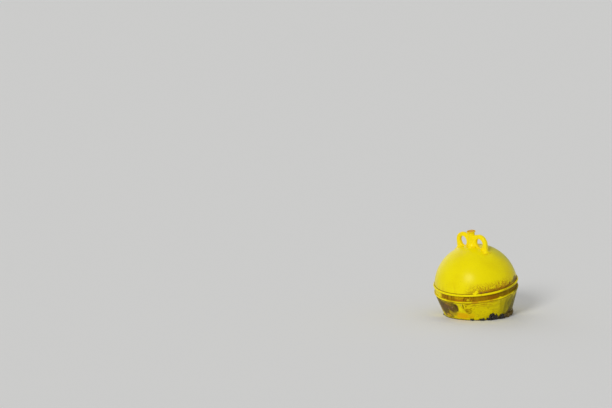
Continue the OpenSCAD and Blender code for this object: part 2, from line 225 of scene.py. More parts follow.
class Paint:
    """A material built up coat over coat in the buoy's own coordinates. Heights and bumps are in metres."""

    def __init__(self, name, colour, roughness, specular=0.25, metallic=0.0, gloss_tint=(1, 1, 1, 1)):
        self.material = bpy.data.materials.new(name)
        self.material.use_nodes = True
        self.tree = self.material.node_tree
        self.shader = self.tree.nodes["Principled BSDF"]
        self.shader.inputs["Specular IOR Level"].default_value = specular
        self.shader.inputs["Specular Tint"].default_value = gloss_tint
        self.shader.inputs["Metallic"].default_value = metallic
        self.colour, self.roughness, self.relief = colour, roughness, None
        self.place = self.node("TexCoord").outputs["Object"]
        split = self.node("SeparateXYZ", self.place)
        self.x, self.y, self.z = split.outputs
        squares = [self.math("MULTIPLY", side, side) for side in (self.x, self.y)]
        self.radius = self.math("SQRT", self.math("ADD", *squares))

    def node(self, kind, *values, **settings):
        made = self.tree.nodes.new("ShaderNode" + kind)
        for name, value in settings.items():
            setattr(made, name, value)
        for socket, value in zip(made.inputs, values):
            self.put(socket, value)
        return made

    def put(self, socket, value):
        if isinstance(value, bpy.types.NodeSocket):
            self.tree.links.new(value, socket)
        elif value is not None:
            socket.default_value = value

    def math(self, operation, *values):
        return self.node("Math", *values, operation=operation).outputs[0]

    def ramp(self, value, low, high):
        """0 at low and before it, 1 at high and past it, smooth between. low may be the larger one."""
        return self.node("MapRange", value, low, high, 0.0, 1.0, interpolation_type="SMOOTHSTEP").outputs[0]

    def times(self, *masks):
        result = masks[0]
        for mask in masks[1:]:
            result = self.math("MULTIPLY", result, mask)
        return result

    def mix(self, share, a, b):
        made = self.node("Mix", data_type="RGBA")
        self.put(made.inputs[0], share)
        self.put(made.inputs[6], a)
        self.put(made.inputs[7], b)
        return made.outputs[2]

    def between(self, share, a, b):
        made = self.node("Mix", data_type="FLOAT")
        self.put(made.inputs[0], share)
        self.put(made.inputs[2], a)
        self.put(made.inputs[3], b)
        return made.outputs[0]

    def grain(self, scale, detail=3.0, rough=0.55, stretch=(1, 1, 1), shift=(0, 0, 0), distortion=0.0):
        """Soft noise about 0.5, with scale waves a metre, drawn out where stretch is under 1."""
        where = self.node("Mapping", self.place, shift, (0, 0, 0), stretch).outputs[0]
        made = self.node("TexNoise", where)
        settings = {"Scale": scale, "Detail": detail, "Roughness": rough, "Distortion": distortion}
        for name, value in settings.items():
            made.inputs[name].default_value = value
        return made.outputs[0]

    def patchy(self, scale, low, high, **noise):
        """Noise as patches: 0 where it is under low, 1 where it is over high."""
        return self.ramp(self.grain(scale, **noise), low, high)

    def warped(self, amount, scale):
        """The place, shaken by noise, so that what is drawn there gets ragged edges."""
        made = self.node("TexNoise", self.place)
        made.inputs["Scale"].default_value = scale
        made.inputs["Detail"].default_value = 4.0
        half = -amount / 2
        shake = self.node("Mapping", made.outputs["Color"], (half,) * 3, (0, 0, 0), (amount,) * 3)
        return self.node("Mapping", self.place, shake.outputs[0]).outputs[0]

    def spot(self, where, degrees, z, radius, wide, tall, lean=0.0, soft=0.3):
        """1 inside a patch wide by tall on a round surface at that angle and height, and 0 outside it."""
        a = math.radians(degrees)
        middle = (radius * math.cos(a), radius * math.sin(a), z)
        reach = max(wide, tall, 0.03)
        size = [(1 + soft) * side for side in (reach, wide, tall)]
        local = self.node("Mapping", where, middle, (lean, 0, a), size, vector_type="TEXTURE").outputs[0]
        inside = self.node("TexGradient", local, gradient_type="SPHERICAL").outputs["Fac"]
        return self.ramp(inside, 0.0, 2 * soft / (1 + soft))

    def coat(self, mask, colour, roughness=None):
        """Lays a colour over the material where mask is 1, and a roughness with it."""
        self.colour = self.mix(mask, self.colour, colour)
        if roughness is not None:
            self.roughness = self.between(mask, self.roughness, roughness)

    def blotches(self, colour, share, scale, low, high, mask=1.0, finish=None, **noise):
        """Coats patches of noise within the mask. share is how much of the colour they take."""
        self.coat(self.times(mask, self.patchy(scale, low, high, **noise), share), colour, finish)

    def raise_by(self, height, amount):
        """Adds height, a mask or noise, times amount to the relief."""
        lift = self.math("MULTIPLY", height, amount)
        self.relief = lift if self.relief is None else self.math("ADD", self.relief, lift)

    def done(self):
        self.put(self.shader.inputs["Base Color"], self.colour)
        self.put(self.shader.inputs["Roughness"], self.roughness)
        if self.relief is not None:
            bump = self.node("Bump")
            bump.inputs["Distance"].default_value = 1.0
            bump.inputs["Strength"].default_value = 1.0
            self.put(bump.inputs["Height"], self.relief)
            self.put(self.shader.inputs["Normal"], bump.outputs[0])
        return self.material


# Coats that several materials share

def plastic_grain(paint, peel=0.00012, scratches=0.00006):
    """The skin of weathered moulded plastic: orange peel, pits and fine scratches both ways."""
    paint.raise_by(paint.grain(140, detail=2), peel)
    paint.raise_by(paint.grain(26, detail=4), 4 * peel)
    for stretch in ((1, 1, 0.05), (0.06, 0.06, 1)):
        paint.raise_by(paint.patchy(420, 0.62, 0.7, detail=1, stretch=stretch), -scratches)


def sun_fading(paint, light, dark):
    """Broad pale and deep areas, and a fine mottle."""
    paint.blotches(light, 0.8, 3.1, 0.42, 0.7, detail=3)
    paint.blotches(dark, 0.7, 4.3, 0.5, 0.78, detail=4, shift=(3, 1, 7))
    paint.blotches(dark, 0.25, 60, 0.45, 0.8, detail=5, rough=0.7)


def specks(paint, colour, scale=260, share=0.66, strength=0.5, shift=(0, 0, 0)):
    """Small scattered dots of dirt."""
    dots = paint.patchy(scale, share, share + 0.05, detail=2, rough=0.4, shift=shift)
    paint.coat(paint.times(dots, strength), colour)


def streaks(paint, mask, colour, strength, scale=34, share=0.52, draw=0.06, shift=(0, 0, 0)):
    """Runs of dirt down the sides."""
    runs = paint.patchy(scale, share, share + 0.16, detail=4, stretch=(1, 1, draw), shift=shift)
    paint.coat(paint.times(mask, runs, strength), colour)


def marks(paint, where, radius_at, rows):
    """Patches from a table, of which later ones cover earlier ones.

    Its columns are the angle in degrees, height, half width and half height in millimetres, lean in radians,
    strength and colour.
    """
    for degrees, z, wide, tall, lean, strength, colour in rows:
        mask = paint.spot(where, degrees, z / 1000, radius_at(z / 1000), wide / 1000, tall / 1000, lean)
        paint.coat(paint.times(mask, strength), colour)


# Colours

YELLOW = srgb(240, 223, 0)
YELLOW_LIGHT = srgb(247, 232, 6)
YELLOW_DEEP = srgb(230, 208, 0)
HEAD = srgb(255, 228, 0)
HEAD_DEEP = srgb(246, 208, 0)
HULL = srgb(228, 209, 0)
HULL_LIGHT = srgb(234, 218, 4)
HULL_OLIVE = srgb(186, 170, 4)
LIP = srgb(248, 230, 2)
ORANGE = srgb(232, 178, 4)
GOLD = srgb(206, 166, 0)
AMBER = srgb(186, 126, 16)
BROWN = srgb(148, 98, 4)
DARK_BROWN = srgb(108, 70, 6)
OLIVE_BROWN = srgb(138, 114, 4)
MAUVE = srgb(120, 80, 62)
UMBER = srgb(84, 58, 14)
FOUL = srgb(100, 82, 28)
FOUL_RED = srgb(120, 82, 50)
OLIVE = srgb(108, 102, 4)
GREY_OLIVE = srgb(124, 112, 52)
DARK_OLIVE = srgb(74, 70, 22)
SLIME = srgb(66, 60, 24)
SLIME_PALE = srgb(112, 102, 50)
BLACK = srgb(22, 20, 18)
RUST_ORANGE = srgb(196, 128, 30)
RUST = srgb(146, 78, 26)
RUST_DARK = srgb(82, 44, 22)
RIM_REFLECTION_GREEN = srgb(166, 180, 60)
YELLOW_GLOSS = (1.0, 0.95, 0.6, 1.0)
BACKDROP = srgb(222, 222, 219)
HEAD_LIGHT = srgb(255, 236, 20)
POST_TOP_SHADE_ORANGE = srgb(236, 182, 2)
POST_HOLLOW_SHADE_ORANGE = srgb(222, 158, 6)
LOWER_LIP = srgb(232, 214, 4)
FILM_PALE = srgb(150, 122, 62)
WET_BROWN = srgb(88, 66, 34)
LIME = srgb(150, 142, 112)
SWIRL = srgb(176, 150, 2)
RUN = srgb(160, 132, 6)
RUST_PIT = srgb(60, 34, 22)
RUST_BRIGHT = srgb(234, 174, 6)
ZINC = srgb(150, 152, 150)
ZINC_BLOOM = srgb(182, 184, 182)
ZINC_DULL = srgb(116, 112, 104)
SHELL = srgb(30, 28, 34)
SHELL_BROWN = srgb(44, 34, 24)
SHELL_WORN = srgb(92, 88, 100)
SHELL_WEED = srgb(74, 70, 30)
SHELL_SILT = srgb(112, 90, 26)
SHELL_SILT_DARK = srgb(104, 84, 28)
BARNACLE = srgb(186, 180, 160)
BARNACLE_STAINED = srgb(150, 138, 104)
BARNACLE_WEED = srgb(96, 96, 56)
GROOVE_GOLD = srgb(176, 146, 6)
BULGE_WORN = srgb(216, 192, 16)
FOUL_PALE = srgb(150, 120, 84)
WASHED = srgb(186, 160, 8)
ORANGE_LIGHT = srgb(238, 186, 4)
SCRAPED = srgb(240, 228, 4)
PLUG_WORN = srgb(214, 190, 10)
CHALKY = srgb(196, 184, 70)
SHADE_BROWN = srgb(70, 56, 14)
CLUMP_SHADOW_BROWN = srgb(84, 62, 16)
CLUMP_SHADOW_BROWN_DARK = srgb(80, 64, 20)


def dome_paint():
    paint = Paint("dome_plastic", YELLOW, 0.27, 0.16, gloss_tint=YELLOW_GLOSS)
    sun_fading(paint, YELLOW_LIGHT, YELLOW_DEEP)
    ragged = paint.warped(0.02, 45)
    wavy = paint.warped(0.012, 25)
    near_lip = paint.ramp(paint.z, 0.40, 0.335)
    streaks(paint, paint.ramp(paint.z, 0.46, 0.34), GOLD, 0.35, scale=22, draw=0.1)
    dirty = paint.patchy(3.4, 0.46, 0.6, detail=2, shift=(5, 2, 0))
    streaks(paint, paint.times(near_lip, dirty), BROWN, 0.55, scale=70, share=0.5, draw=0.2)
    film = paint.patchy(90, 0.32, 0.5, detail=4, stretch=(1, 1, 4))
    film = paint.times(paint.ramp(paint.z, 0.376, 0.348), film)
    sheltered = paint.ramp(paint.math("ADD", paint.x, paint.times(paint.y, 0.35)), 0.0, 0.22)
    paint.coat(paint.times(film, paint.math("ADD", paint.times(sheltered, 0.85), 0.04)), BROWN, 0.6)
    splashed = paint.times(sheltered, paint.ramp(paint.z, 0.445, 0.37), paint.ramp(paint.y, 0.12, -0.02))
    paint.blotches(BROWN, 0.8, 120, 0.48, 0.56, splashed, 0.6, detail=3, shift=(2, 8, 1))
    paint.blotches(AMBER, 0.55, 55, 0.44, 0.6, splashed, 0.6, detail=4, shift=(6, 1, 9))
    marks(paint, wavy, sphere_at, (
        (-20, 356, 62, 4, -0.10, 0.75, BROWN),
        (-28, 350, 48, 3.5, -0.14, 0.7, AMBER),
        (-22, 344, 60, 3.5, -0.05, 0.8, DARK_BROWN),
        (-6, 346, 52, 5, 0.05, 0.75, BROWN),
        (-12, 352, 24, 5, 0.35, 0.8, BROWN),
        (3, 350, 40, 6, 0.10, 0.7, DARK_BROWN),
        (-13, 396, 4.5, 17, 0.1, 0.75, AMBER),
        (-7, 388, 4, 20, -0.05, 0.7, AMBER),
        (-16, 378, 5, 12, 0.3, 0.5, AMBER),
        (-2, 376, 5, 9, 0.2, 0.6, BROWN),
    ))
    # Painted reflection: a pale greenish grey over the dome's upper right, out to its edge, stands in for the
    # sky's sheen there
    marks(paint, paint.place, sphere_at, (
        (58, 600, 170, 110, 0, 0.3, RIM_REFLECTION_GREEN),
        (52, 460, 130, 120, 0, 0.2, RIM_REFLECTION_GREEN),
    ))
    marks(paint, ragged, sphere_at, (
        (8, 360, 13, 13, 0, 0.85, DARK_BROWN),
        (15, 362, 20, 13, 0.2, 0.6, GREY_OLIVE),
        (24, 368, 46, 20, 0.2, 0.8, FOUL),
        (33, 352, 50, 16, 0, 0.75, DARK_BROWN),
        (-41, 347, 13, 5, 0, 0.85, MAUVE),
        (-34, 343, 16, 4.5, 0, 0.85, MAUVE),
        (-38, 352, 7, 4, 0, 0.6, AMBER),
        (150, 360, 60, 18, 0.1, 0.5, BROWN),
        (215, 350, 80, 12, 0, 0.5, AMBER),
    ))
    # A dark brown line round the dome's foot, at its gap to the lip: dirt, and painted shade of the gap
    foot_dirt_and_shade = paint.ramp(paint.z, 0.3445, 0.338)
    paint.coat(paint.times(foot_dirt_and_shade, 0.85), DARK_BROWN, 0.7)
    marks(paint, ragged, sphere_at, (
        (LUG_DEGREES + 1, 352, 15, 14, 0, 1.0, LIP),
        (LUG_DEGREES - 2, 342, 18, 10, 0, 1.0, LIP),
    ))
    specks(paint, BROWN, strength=0.35)
    specks(paint, OLIVE, scale=120, share=0.7, strength=0.3, shift=(2, 5, 1))
    paint.roughness = paint.math("ADD", paint.roughness, paint.times(paint.grain(30, detail=3), 0.08))
    plastic_grain(paint)
    return paint.done()


def head_paint():
    """The eyes and the post: a deeper, cleaner yellow with rusty water dried on the tops, and orange painted
    shade on the post's top face, deeper towards its hollow.
    """
    paint = Paint("head_plastic", HEAD, 0.30, 0.14, gloss_tint=YELLOW_GLOSS)
    sun_fading(paint, HEAD_LIGHT, HEAD_DEEP)
    tops = paint.ramp(paint.z, 0.70, 0.82)
    paint.blotches(ORANGE, 0.45, 34, 0.5, 0.72, tops, detail=4)
    paint.blotches(ORANGE, 0.35, 85, 0.62, 0.74, detail=3, shift=(1, 4, 2))
    over_dome = paint.node("VectorMath", paint.place, (0.0, 0.0, DOME_Z), operation="SUBTRACT").outputs[0]
    height = paint.node("VectorMath", over_dome, operation="LENGTH").outputs["Value"]
    foot = paint.ramp(height, DOME_R + 0.016, DOME_R + 0.001)
    paint.blotches(GOLD, 0.5, 48, 0.4, 0.62, foot, 0.55, detail=4)
    collar = paint.ramp(paint.radius, 0.046, 0.044)
    below_collar = paint.times(collar, paint.ramp(paint.z, 0.72, 0.82))
    streaks(paint, below_collar, AMBER, 0.6, scale=120, share=0.54, draw=0.05)
    # Painted shade: the post's top face is coated orange, deeper towards the hollow round the rod
    top = paint.times(paint.ramp(paint.z, POST_TOP_Z - 0.004, POST_TOP_Z - 0.001), collar)
    paint.blotches(POST_TOP_SHADE_ORANGE, 1.0, 70, 0.3, 0.5, top, 0.6, detail=4)
    paint.coat(paint.times(top, paint.ramp(paint.radius, 0.036, 0.029)), POST_HOLLOW_SHADE_ORANGE, 0.65)
    specks(paint, BROWN, scale=300, strength=0.3)
    seam = paint.ramp(paint.math("ABSOLUTE", paint.y), 0.0016, 0.0006)
    paint.raise_by(paint.times(seam, paint.ramp(paint.radius, 0.04, 0.045)), 0.0005)
    plastic_grain(paint)
    return paint.done()


def groove_coats(paint, wavy):
    """The groove between the lips: brown stains and dirt, with painted shade of the recess, and clean at its
    far left.
    """
    in_groove = paint.times(
        paint.ramp(paint.z, LOWER_LIP_Z + 0.006, LOWER_LIP_Z + 0.011),
        paint.ramp(paint.z, UPPER_LIP_Z - 0.006, UPPER_LIP_Z - 0.011),
        paint.ramp(paint.radius, GROOVE_R + 0.009, GROOVE_R + 0.005),
    )
    stained = paint.patchy(2.6, 0.4, 0.52, detail=2, shift=(4, 0, 0), stretch=(1, 1, 0.2))
    bare = paint.spot(wavy, -131, 0.29, GROOVE_R, 0.160, 0.07, soft=0.2)
    # The brown in the groove is dirt, and painted shade of the recess
    groove_dirt_and_shade = paint.times(in_groove, paint.math("SUBTRACT", 1.0, bare))
    paint.coat(paint.times(groove_dirt_and_shade, 0.75), GOLD)
    paint.coat(paint.times(groove_dirt_and_shade, paint.math("ADD", paint.times(stained, 0.4), 0.4)), BROWN, 0.7)
    streaks(paint, groove_dirt_and_shade, DARK_BROWN, 0.85, scale=75, share=0.47, draw=0.04)
    streaks(paint, groove_dirt_and_shade, YELLOW, 0.6, scale=110, share=0.56, draw=0.04, shift=(3, 3, 0))
    paint.coat(paint.times(in_groove, bare, 0.9), LIP)
    # Olive brown towards the right is partly painted shade of that side
    marks(paint, wavy, lambda z: GROOVE_R, (
        (-100, 286, 52, 24, 0, 0.4, BROWN),
        (-40, 290, 90, 22, 0, 0.6, BROWN),
        (-42, 287, 80, 22, 0, 0.3, GROOVE_GOLD),
        (-22, 284, 60, 26, 0, 0.75, BROWN),
        (-8, 286, 60, 26, 0, 0.6, OLIVE_BROWN),
        (12, 286, 70, 26, 0, 0.7, OLIVE_BROWN),
        (32, 284, 70, 26, 0, 0.7, OLIVE_BROWN),
        (-73, 296, 56, 14, 0, 0.8, GOLD),
        (-73, 272, 46, 9, 0, 0.9, AMBER),
        (-66, 288, 5, 20, -0.35, 0.9, DARK_BROWN),
        (-61, 309, 24, 5, 0, 0.9, DARK_BROWN),
        (-55, 298, 6, 16, 0.2, 0.8, BROWN),
        (-60, 279, 13, 11, 0, 0.9, BULGE_WORN),
        (-55.5, 276, 6, 8, 0, 0.5, GOLD),
        (-104, 284, 5, 22, 0, 0.75, BROWN),
        (-100, 278, 3, 16, 0, 0.7, DARK_BROWN),
        (-93, 280, 3.5, 20, 0, 0.65, BROWN),
        (-90, 276, 3, 14, 0, 0.7, BROWN),
        (-87, 282, 3.5, 20, 0, 0.65, AMBER),
        (-84, 278, 3, 18, 0, 0.6, BROWN),
        (-97, 284, 6, 22, 0, 0.6, BROWN),
        (-81, 284, 5, 22, 0, 0.6, BROWN),
    ))


def lip_coats(paint, wavy):
    """The lips are painted brighter: a painted highlight along their rounded edges, and wear that keeps them
    clean.
    """
    upper = paint.times(
        paint.ramp(paint.z, UPPER_LIP_Z - UPPER_LIP_HALF - 0.0015, UPPER_LIP_Z - 0.006),
        paint.ramp(paint.radius, GROOVE_R + 0.006, GROOVE_R + 0.012),
    )
    lower = paint.times(
        paint.ramp(paint.z, LOWER_LIP_Z - 0.0095, LOWER_LIP_Z - 0.005),
        paint.ramp(paint.z, LOWER_LIP_Z + 0.011, LOWER_LIP_Z + 0.007),
        paint.ramp(paint.radius, GROOVE_R + 0.006, GROOVE_R + 0.012),
    )
    # Painted highlight: the rounded lips are coated a brighter yellow, which wear also keeps clean
    paint.coat(paint.times(upper, 0.95), LIP, 0.4)
    dull = paint.patchy(5.0, 0.44, 0.6, detail=3, shift=(0, 6, 2))
    paint.coat(paint.times(lower, 0.9), LOWER_LIP, 0.45)
    paint.coat(paint.times(lower, dull, 0.6), GOLD, 0.6)
    chipped = paint.patchy(42, 0.58, 0.68, detail=4, shift=(9, 0, 3))
    paint.coat(paint.times(upper, chipped, 0.5), GOLD, 0.6)
    top = paint.ramp(paint.z, UPPER_LIP_Z + 0.007, UPPER_LIP_Z + 0.010)
    paint.blotches(AMBER, 0.4, 30, 0.45, 0.65, top, 0.6, detail=3)
    # On the left, dark brown under the lower lip is painted shade with dirt, and the bright band on it a
    # painted highlight; olive over the lips on the right is partly painted shade of that side
    marks(paint, wavy, lambda z: LOWER_LIP_R, (
        (-50, 257, 38, 12, 0, 0.75, AMBER),
        (-38, 257, 46, 11, 0, 0.7, GOLD),
        (-28, 256, 22, 11, 0, 0.6, AMBER),
        (-14, 259, 34, 8, 0, 0.9, LIP),
        (2, 258, 36, 9, 0, 0.7, HULL_OLIVE),
        (22, 258, 60, 10, 0, 0.75, OLIVE),
        (4, 324, 110, 18, 0, 0.4, OLIVE_BROWN),
        (-108, 250, 90, 4, 0, 0.9, DARK_BROWN),
        (-108, 261, 110, 5, 0, 0.9, LIP),
        (-84, 252, 40, 5, 0, 0.7, BROWN),
    ))


def fouling_coats(paint, wavy, ragged):
    """Brown film, clean scrapes and stains on the tapering side, olive fouling with painted shade on its
    right side, and the growth's shadow at the water.
    """
    marks(paint, ragged, hull_radius, (
        (-118, 200, 70, 60, 0, 0.85, FOUL),
        (-108, 218, 50, 26, 0, 0.85, FOUL),
        (-103, 176, 62, 46, 0, 0.9, FOUL),
        (-90, 184, 56, 34, 0, 0.9, FOUL),
        (-80, 190, 24, 40, 0, 0.9, FOUL),
        (-108, 112, 34, 46, 0, 0.85, FOUL),
        (-96, 92, 44, 26, 0, 0.75, FOUL),
        (-106, 166, 24, 24, 0.2, 0.7, FOUL_RED),
        (-80, 206, 12, 26, 0, 0.65, FOUL_RED),
        (-98, 196, 40, 8, 0.1, 0.5, UMBER),
        (-92, 222, 34, 7, 0, 0.8, AMBER),
        (-86, 228, 40, 6, 0, 0.6, DARK_BROWN),
        (-104, 196, 90, 46, 0, 0.85, FOUL),
        (-106, 140, 64, 50, 0, 0.85, FOUL),
        (-88, 168, 40, 56, 0, 0.75, FOUL),
        (-112, 170, 26, 50, 0.2, 0.5, UMBER),
        (-86, 168, 9, 40, -0.2, 0.6, UMBER),
        (-84, 222, 30, 22, 0, 0.85, FOUL),
        (-92, 236, 40, 16, 0, 0.6, FOUL),
        (-84, 148, 24, 26, 0, 0.6, FOUL),
        (-118, 132, 40, 40, 0, 0.7, FOUL_RED),
        (-99, 186, 54, 22, 0.1, 0.7, FOUL_RED),
        (-88, 182, 20, 30, 0, 0.5, FOUL_RED),
        (-96, 218, 12, 7, 0, 0.8, AMBER),
        (-80.5, 208, 12, 30, 0.1, 0.75, UMBER),
        (-88, 156, 26, 9, 0.15, 0.6, UMBER),
        (-106, 206, 14, 30, 0, 0.6, UMBER),
        (-98, 168, 8, 22, -0.2, 0.5, UMBER),
        (-96, 160, 16, 12, 0.3, 0.6, FOUL_PALE),
        (-87, 196, 14, 10, 0, 0.6, FOUL_PALE),
        (-90, 122, 58, 14, 0, 0.85, WASHED),
        (-100, 92, 40, 9, 0, 0.75, ORANGE),
        (-99, 124, 8, 12, 0, 0.85, UMBER),
        (-78.5, 180, 6, 30, 0, 0.8, UMBER),
        (-80, 130, 4, 26, 0, 0.5, UMBER),
        (-72, 112, 56, 30, 0, 0.75, ORANGE),
        (-76, 96, 40, 16, 0, 0.7, ORANGE_LIGHT),
        (-62, 112, 60, 22, 0, 0.4, ORANGE),
    ))
    marks(paint, wavy, hull_radius, (
        (-73, 181, 15, 28, 0, 1.0, SCRAPED),
        (-61.5, 169, 25, 25, 0, 0.65, BROWN),
        (-60.5, 168, 17, 16, 0, 0.85, PLUG_WORN),
        (-71, 231, 9, 8, 0, 0.8, CHALKY),
        (-68, 214, 5, 26, 0, 0.95, DARK_BROWN),
        (-64, 216, 10, 7, 0.5, 0.8, BROWN),
        (-45, 206, 40, 6, 0.12, 0.45, GOLD),
        (-38, 222, 50, 5, -0.08, 0.4, GOLD),
        (-30, 190, 46, 6, 0.15, 0.35, HULL_OLIVE),
        (-24, 236, 46, 5, 0, 0.5, AMBER),
        (-61, 238, 34, 7, 0.2, 0.7, BROWN),
        (-52, 231, 44, 4, -0.1, 0.6, BROWN),
        (-55, 219, 20, 4, 0.3, 0.6, AMBER),
        (-38, 232, 40, 4, 0.1, 0.6, AMBER),
        (-57, 192, 10, 5, -0.4, 0.6, BROWN),
        (-30, 214, 34, 4, -0.2, 0.45, AMBER),
        (-20, 150, 60, 8, -0.2, 0.35, HULL_OLIVE),
        (-12, 210, 10, 36, 0.1, 0.35, OLIVE),
        (-3, 180, 8, 60, -0.05, 0.4, OLIVE),
    ))
    # Olive over the hull's right side: fouling, and painted shade of that side
    marks(paint, ragged, hull_radius, (
        (-6, 150, 50, 100, 0, 0.75, HULL_OLIVE),
        (0, 150, 34, 90, 0, 0.5, OLIVE),
        (10, 170, 50, 70, 0, 0.75, OLIVE),
        (14, 85, 50, 50, 0, 0.85, SHADE_BROWN),
        (26, 150, 70, 80, 0, 0.85, DARK_OLIVE),
        (8, 60, 40, 26, 0, 0.8, UMBER),
    ))
    speckled = paint.patchy(70, 0.5, 0.64, detail=5, rough=0.7, shift=(1, 6, 2))
    stained = paint.spot(paint.place, -100, 0.165, hull_radius(0.165), 0.105, 0.085)
    paint.coat(paint.times(stained, speckled, 0.5), FILM_PALE)
    shaded = paint.spot(paint.place, 17, 0.13, hull_radius(0.13), 0.090, 0.110)
    paint.coat(paint.times(shaded, speckled, 0.5), HULL_OLIVE)
    streaks(paint, shaded, HULL_OLIVE, 0.5, scale=60, share=0.5, draw=0.12, shift=(3, 7, 7))
    behind = paint.ramp(paint.math("ADD", paint.x, paint.times(paint.y, -1.07)), 0.02, -0.16)
    film = paint.patchy(6.5, 0.5, 0.62, detail=6, rough=0.65, distortion=1.0, stretch=(1, 1, 0.6))
    sides = paint.times(behind, paint.ramp(paint.z, 0.245, 0.16))
    paint.coat(paint.times(sides, film, 0.65), FOUL)
    paint.coat(paint.times(sides, speckled, 0.45), HULL_OLIVE)
    streaks(paint, sides, UMBER, 0.5, scale=46, share=0.54, draw=0.1, shift=(2, 9, 4))
    paint.coat(paint.times(behind, paint.ramp(paint.z, 0.12, 0.05), 0.5), OLIVE)


def water_coats(paint, ragged):
    """A dark line along the water's plane, slime on the band that is often wet, growth below it, and painted
    shadow under the mussel clumps.
    """
    upright = (-WATER_SLOPE[0], -WATER_SLOPE[1], 1.0)
    over_water = paint.node("VectorMath", paint.place, upright, operation="DOT_PRODUCT").outputs["Value"]
    rise = paint.times(paint.math("SUBTRACT", paint.grain(9, detail=5), 0.5), 0.16)
    level = paint.math("SUBTRACT", paint.z, rise)
    wet = paint.ramp(level, 0.075, 0.015)
    paint.coat(paint.times(wet, 0.75), HULL_OLIVE, 0.5)
    paint.coat(paint.ramp(level, 0.042, 0.012), SLIME, 0.62)
    paint.blotches(SLIME_PALE, 0.8, 14, 0.42, 0.6, paint.ramp(level, 0.02, -0.02), detail=5)
    deep = paint.ramp(level, -0.02, -0.06)
    paint.blotches(WET_BROWN, 0.7, 22, 0.5, 0.66, deep, detail=5, shift=(1, 2, 3))
    crusted = paint.ramp(level, 0.01, -0.03)
    paint.blotches(LIME, 0.6, 150, 0.6, 0.66, crusted, detail=3, shift=(6, 0, 0))
    # A dark line along the water's plane, just above it
    water_line_dark = paint.times(paint.ramp(over_water, 0.012, 0.006), paint.ramp(over_water, -0.006, 0.0))
    paint.coat(paint.times(water_line_dark, 0.8), UMBER, 0.35)
    # Painted shadow under and round the mussel clumps: black in front, brown on the right
    marks(paint, ragged, hull_radius, (
        (-24, 60, 60, 17, 0, 0.95, BLACK),
        (-20, 76, 28, 12, 0, 0.95, BLACK),
        (-25, 88, 26, 16, 0, 0.95, BLACK),
        (-27, 104, 12, 12, 0, 0.95, BLACK),
        (-8, 66, 22, 14, 0, 0.9, BLACK),
        (-3, 44, 46, 26, 0, 0.95, BLACK),
        (-42, 62, 24, 13, 0, 0.95, BLACK),
        (-58, 62, 17, 12, 0, 0.9, BLACK),
        (-48, 50, 24, 9, 0, 0.7, UMBER),
        (14, 40, 60, 44, 0, 0.8, CLUMP_SHADOW_BROWN),
        (28, 36, 60, 50, 0, 0.8, CLUMP_SHADOW_BROWN_DARK),
    ))
    under = paint.ramp(level, 0.035, 0.0)
    paint.raise_by(paint.times(under, paint.grain(60, detail=5, rough=0.65)), 0.0016)
    paint.raise_by(paint.times(under, paint.grain(240, detail=3)), 0.0005)


def hull_paint():
    paint = Paint("hull_plastic", HULL, 0.42, 0.12, gloss_tint=YELLOW_GLOSS)
    sun_fading(paint, HULL_LIGHT, HULL_OLIVE)
    ragged = paint.warped(0.05, 22)
    wavy = paint.warped(0.016, 30)
    side = paint.ramp(paint.z, SHOULDER_Z, SHOULDER_Z - 0.01)
    swirls = paint.patchy(11, 0.5, 0.62, detail=5, stretch=(1, 1, 2.4), distortion=1.6)
    paint.coat(paint.times(side, swirls, 0.28), SWIRL)
    streaks(paint, side, RUN, 0.35, scale=40, share=0.54, draw=0.12)
    streaks(paint, side, HULL_LIGHT, 0.4, scale=60, share=0.58, draw=0.2, shift=(7, 1, 2))
    # Dark brown under the lower lip: dirt, and painted shade of the lip's underside
    under_lip_dirt_and_shade = paint.times(paint.ramp(paint.z, SHOULDER_Z - 0.006, SHOULDER_Z - 0.001),
                            paint.ramp(paint.radius, GROOVE_R, GROOVE_R + 0.004))
    paint.coat(paint.times(under_lip_dirt_and_shade, 0.7), DARK_BROWN)
    fouling_coats(paint, wavy, ragged)
    groove_coats(paint, wavy)
    lip_coats(paint, wavy)
    marks(paint, paint.place, lambda z: UPPER_LIP_R, [(LUG_DEGREES, 331, 22, 12, 0, 1.0, LIP)])
    specks(paint, UMBER, scale=230, strength=0.4)
    specks(paint, DARK_BROWN, scale=90, share=0.69, strength=0.45, shift=(4, 4, 0))
    water_coats(paint, ragged)
    paint.roughness = paint.math("ADD", paint.roughness, paint.times(paint.grain(24, detail=3), 0.1))
    plastic_grain(paint, 0.0002, 0.0001)
    return paint.done()


def rust_paint():
    """Rusted forged steel with scale, pits and bloom, slimy under water and bright orange on top."""
    paint = Paint("rusty_steel", RUST, 0.78, 0.3)
    paint.blotches(RUST_ORANGE, 1.0, 38, 0.42, 0.58, detail=6, rough=0.7)
    paint.blotches(RUST_DARK, 0.75, 95, 0.52, 0.66, detail=5, shift=(3, 0, 1))
    paint.blotches(RUST_PIT, 0.5, 210, 0.6, 0.7, finish=0.9, detail=3, shift=(0, 2, 0))
    dry = paint.ramp(paint.z, 0.5, 0.6)
    paint.coat(paint.times(dry, 0.9), RUST_BRIGHT, 0.6)
    paint.blotches(RUST, 0.4, 150, 0.56, 0.7, dry, detail=4, shift=(7, 0, 2))
    wet = paint.ramp(paint.z, 0.0, -0.1)
    paint.blotches(SLIME, 0.45, 26, 0.46, 0.62, wet, 0.7, detail=5, shift=(5, 5, 5))
    paint.blotches(SLIME_PALE, 0.3, 70, 0.56, 0.66, wet, detail=4, shift=(8, 1, 5))
    paint.raise_by(paint.grain(120, detail=6, rough=0.7), 0.0012)
    paint.raise_by(paint.patchy(310, 0.56, 0.7, detail=2, shift=(1, 1, 1)), -0.0005)
    return paint.done()


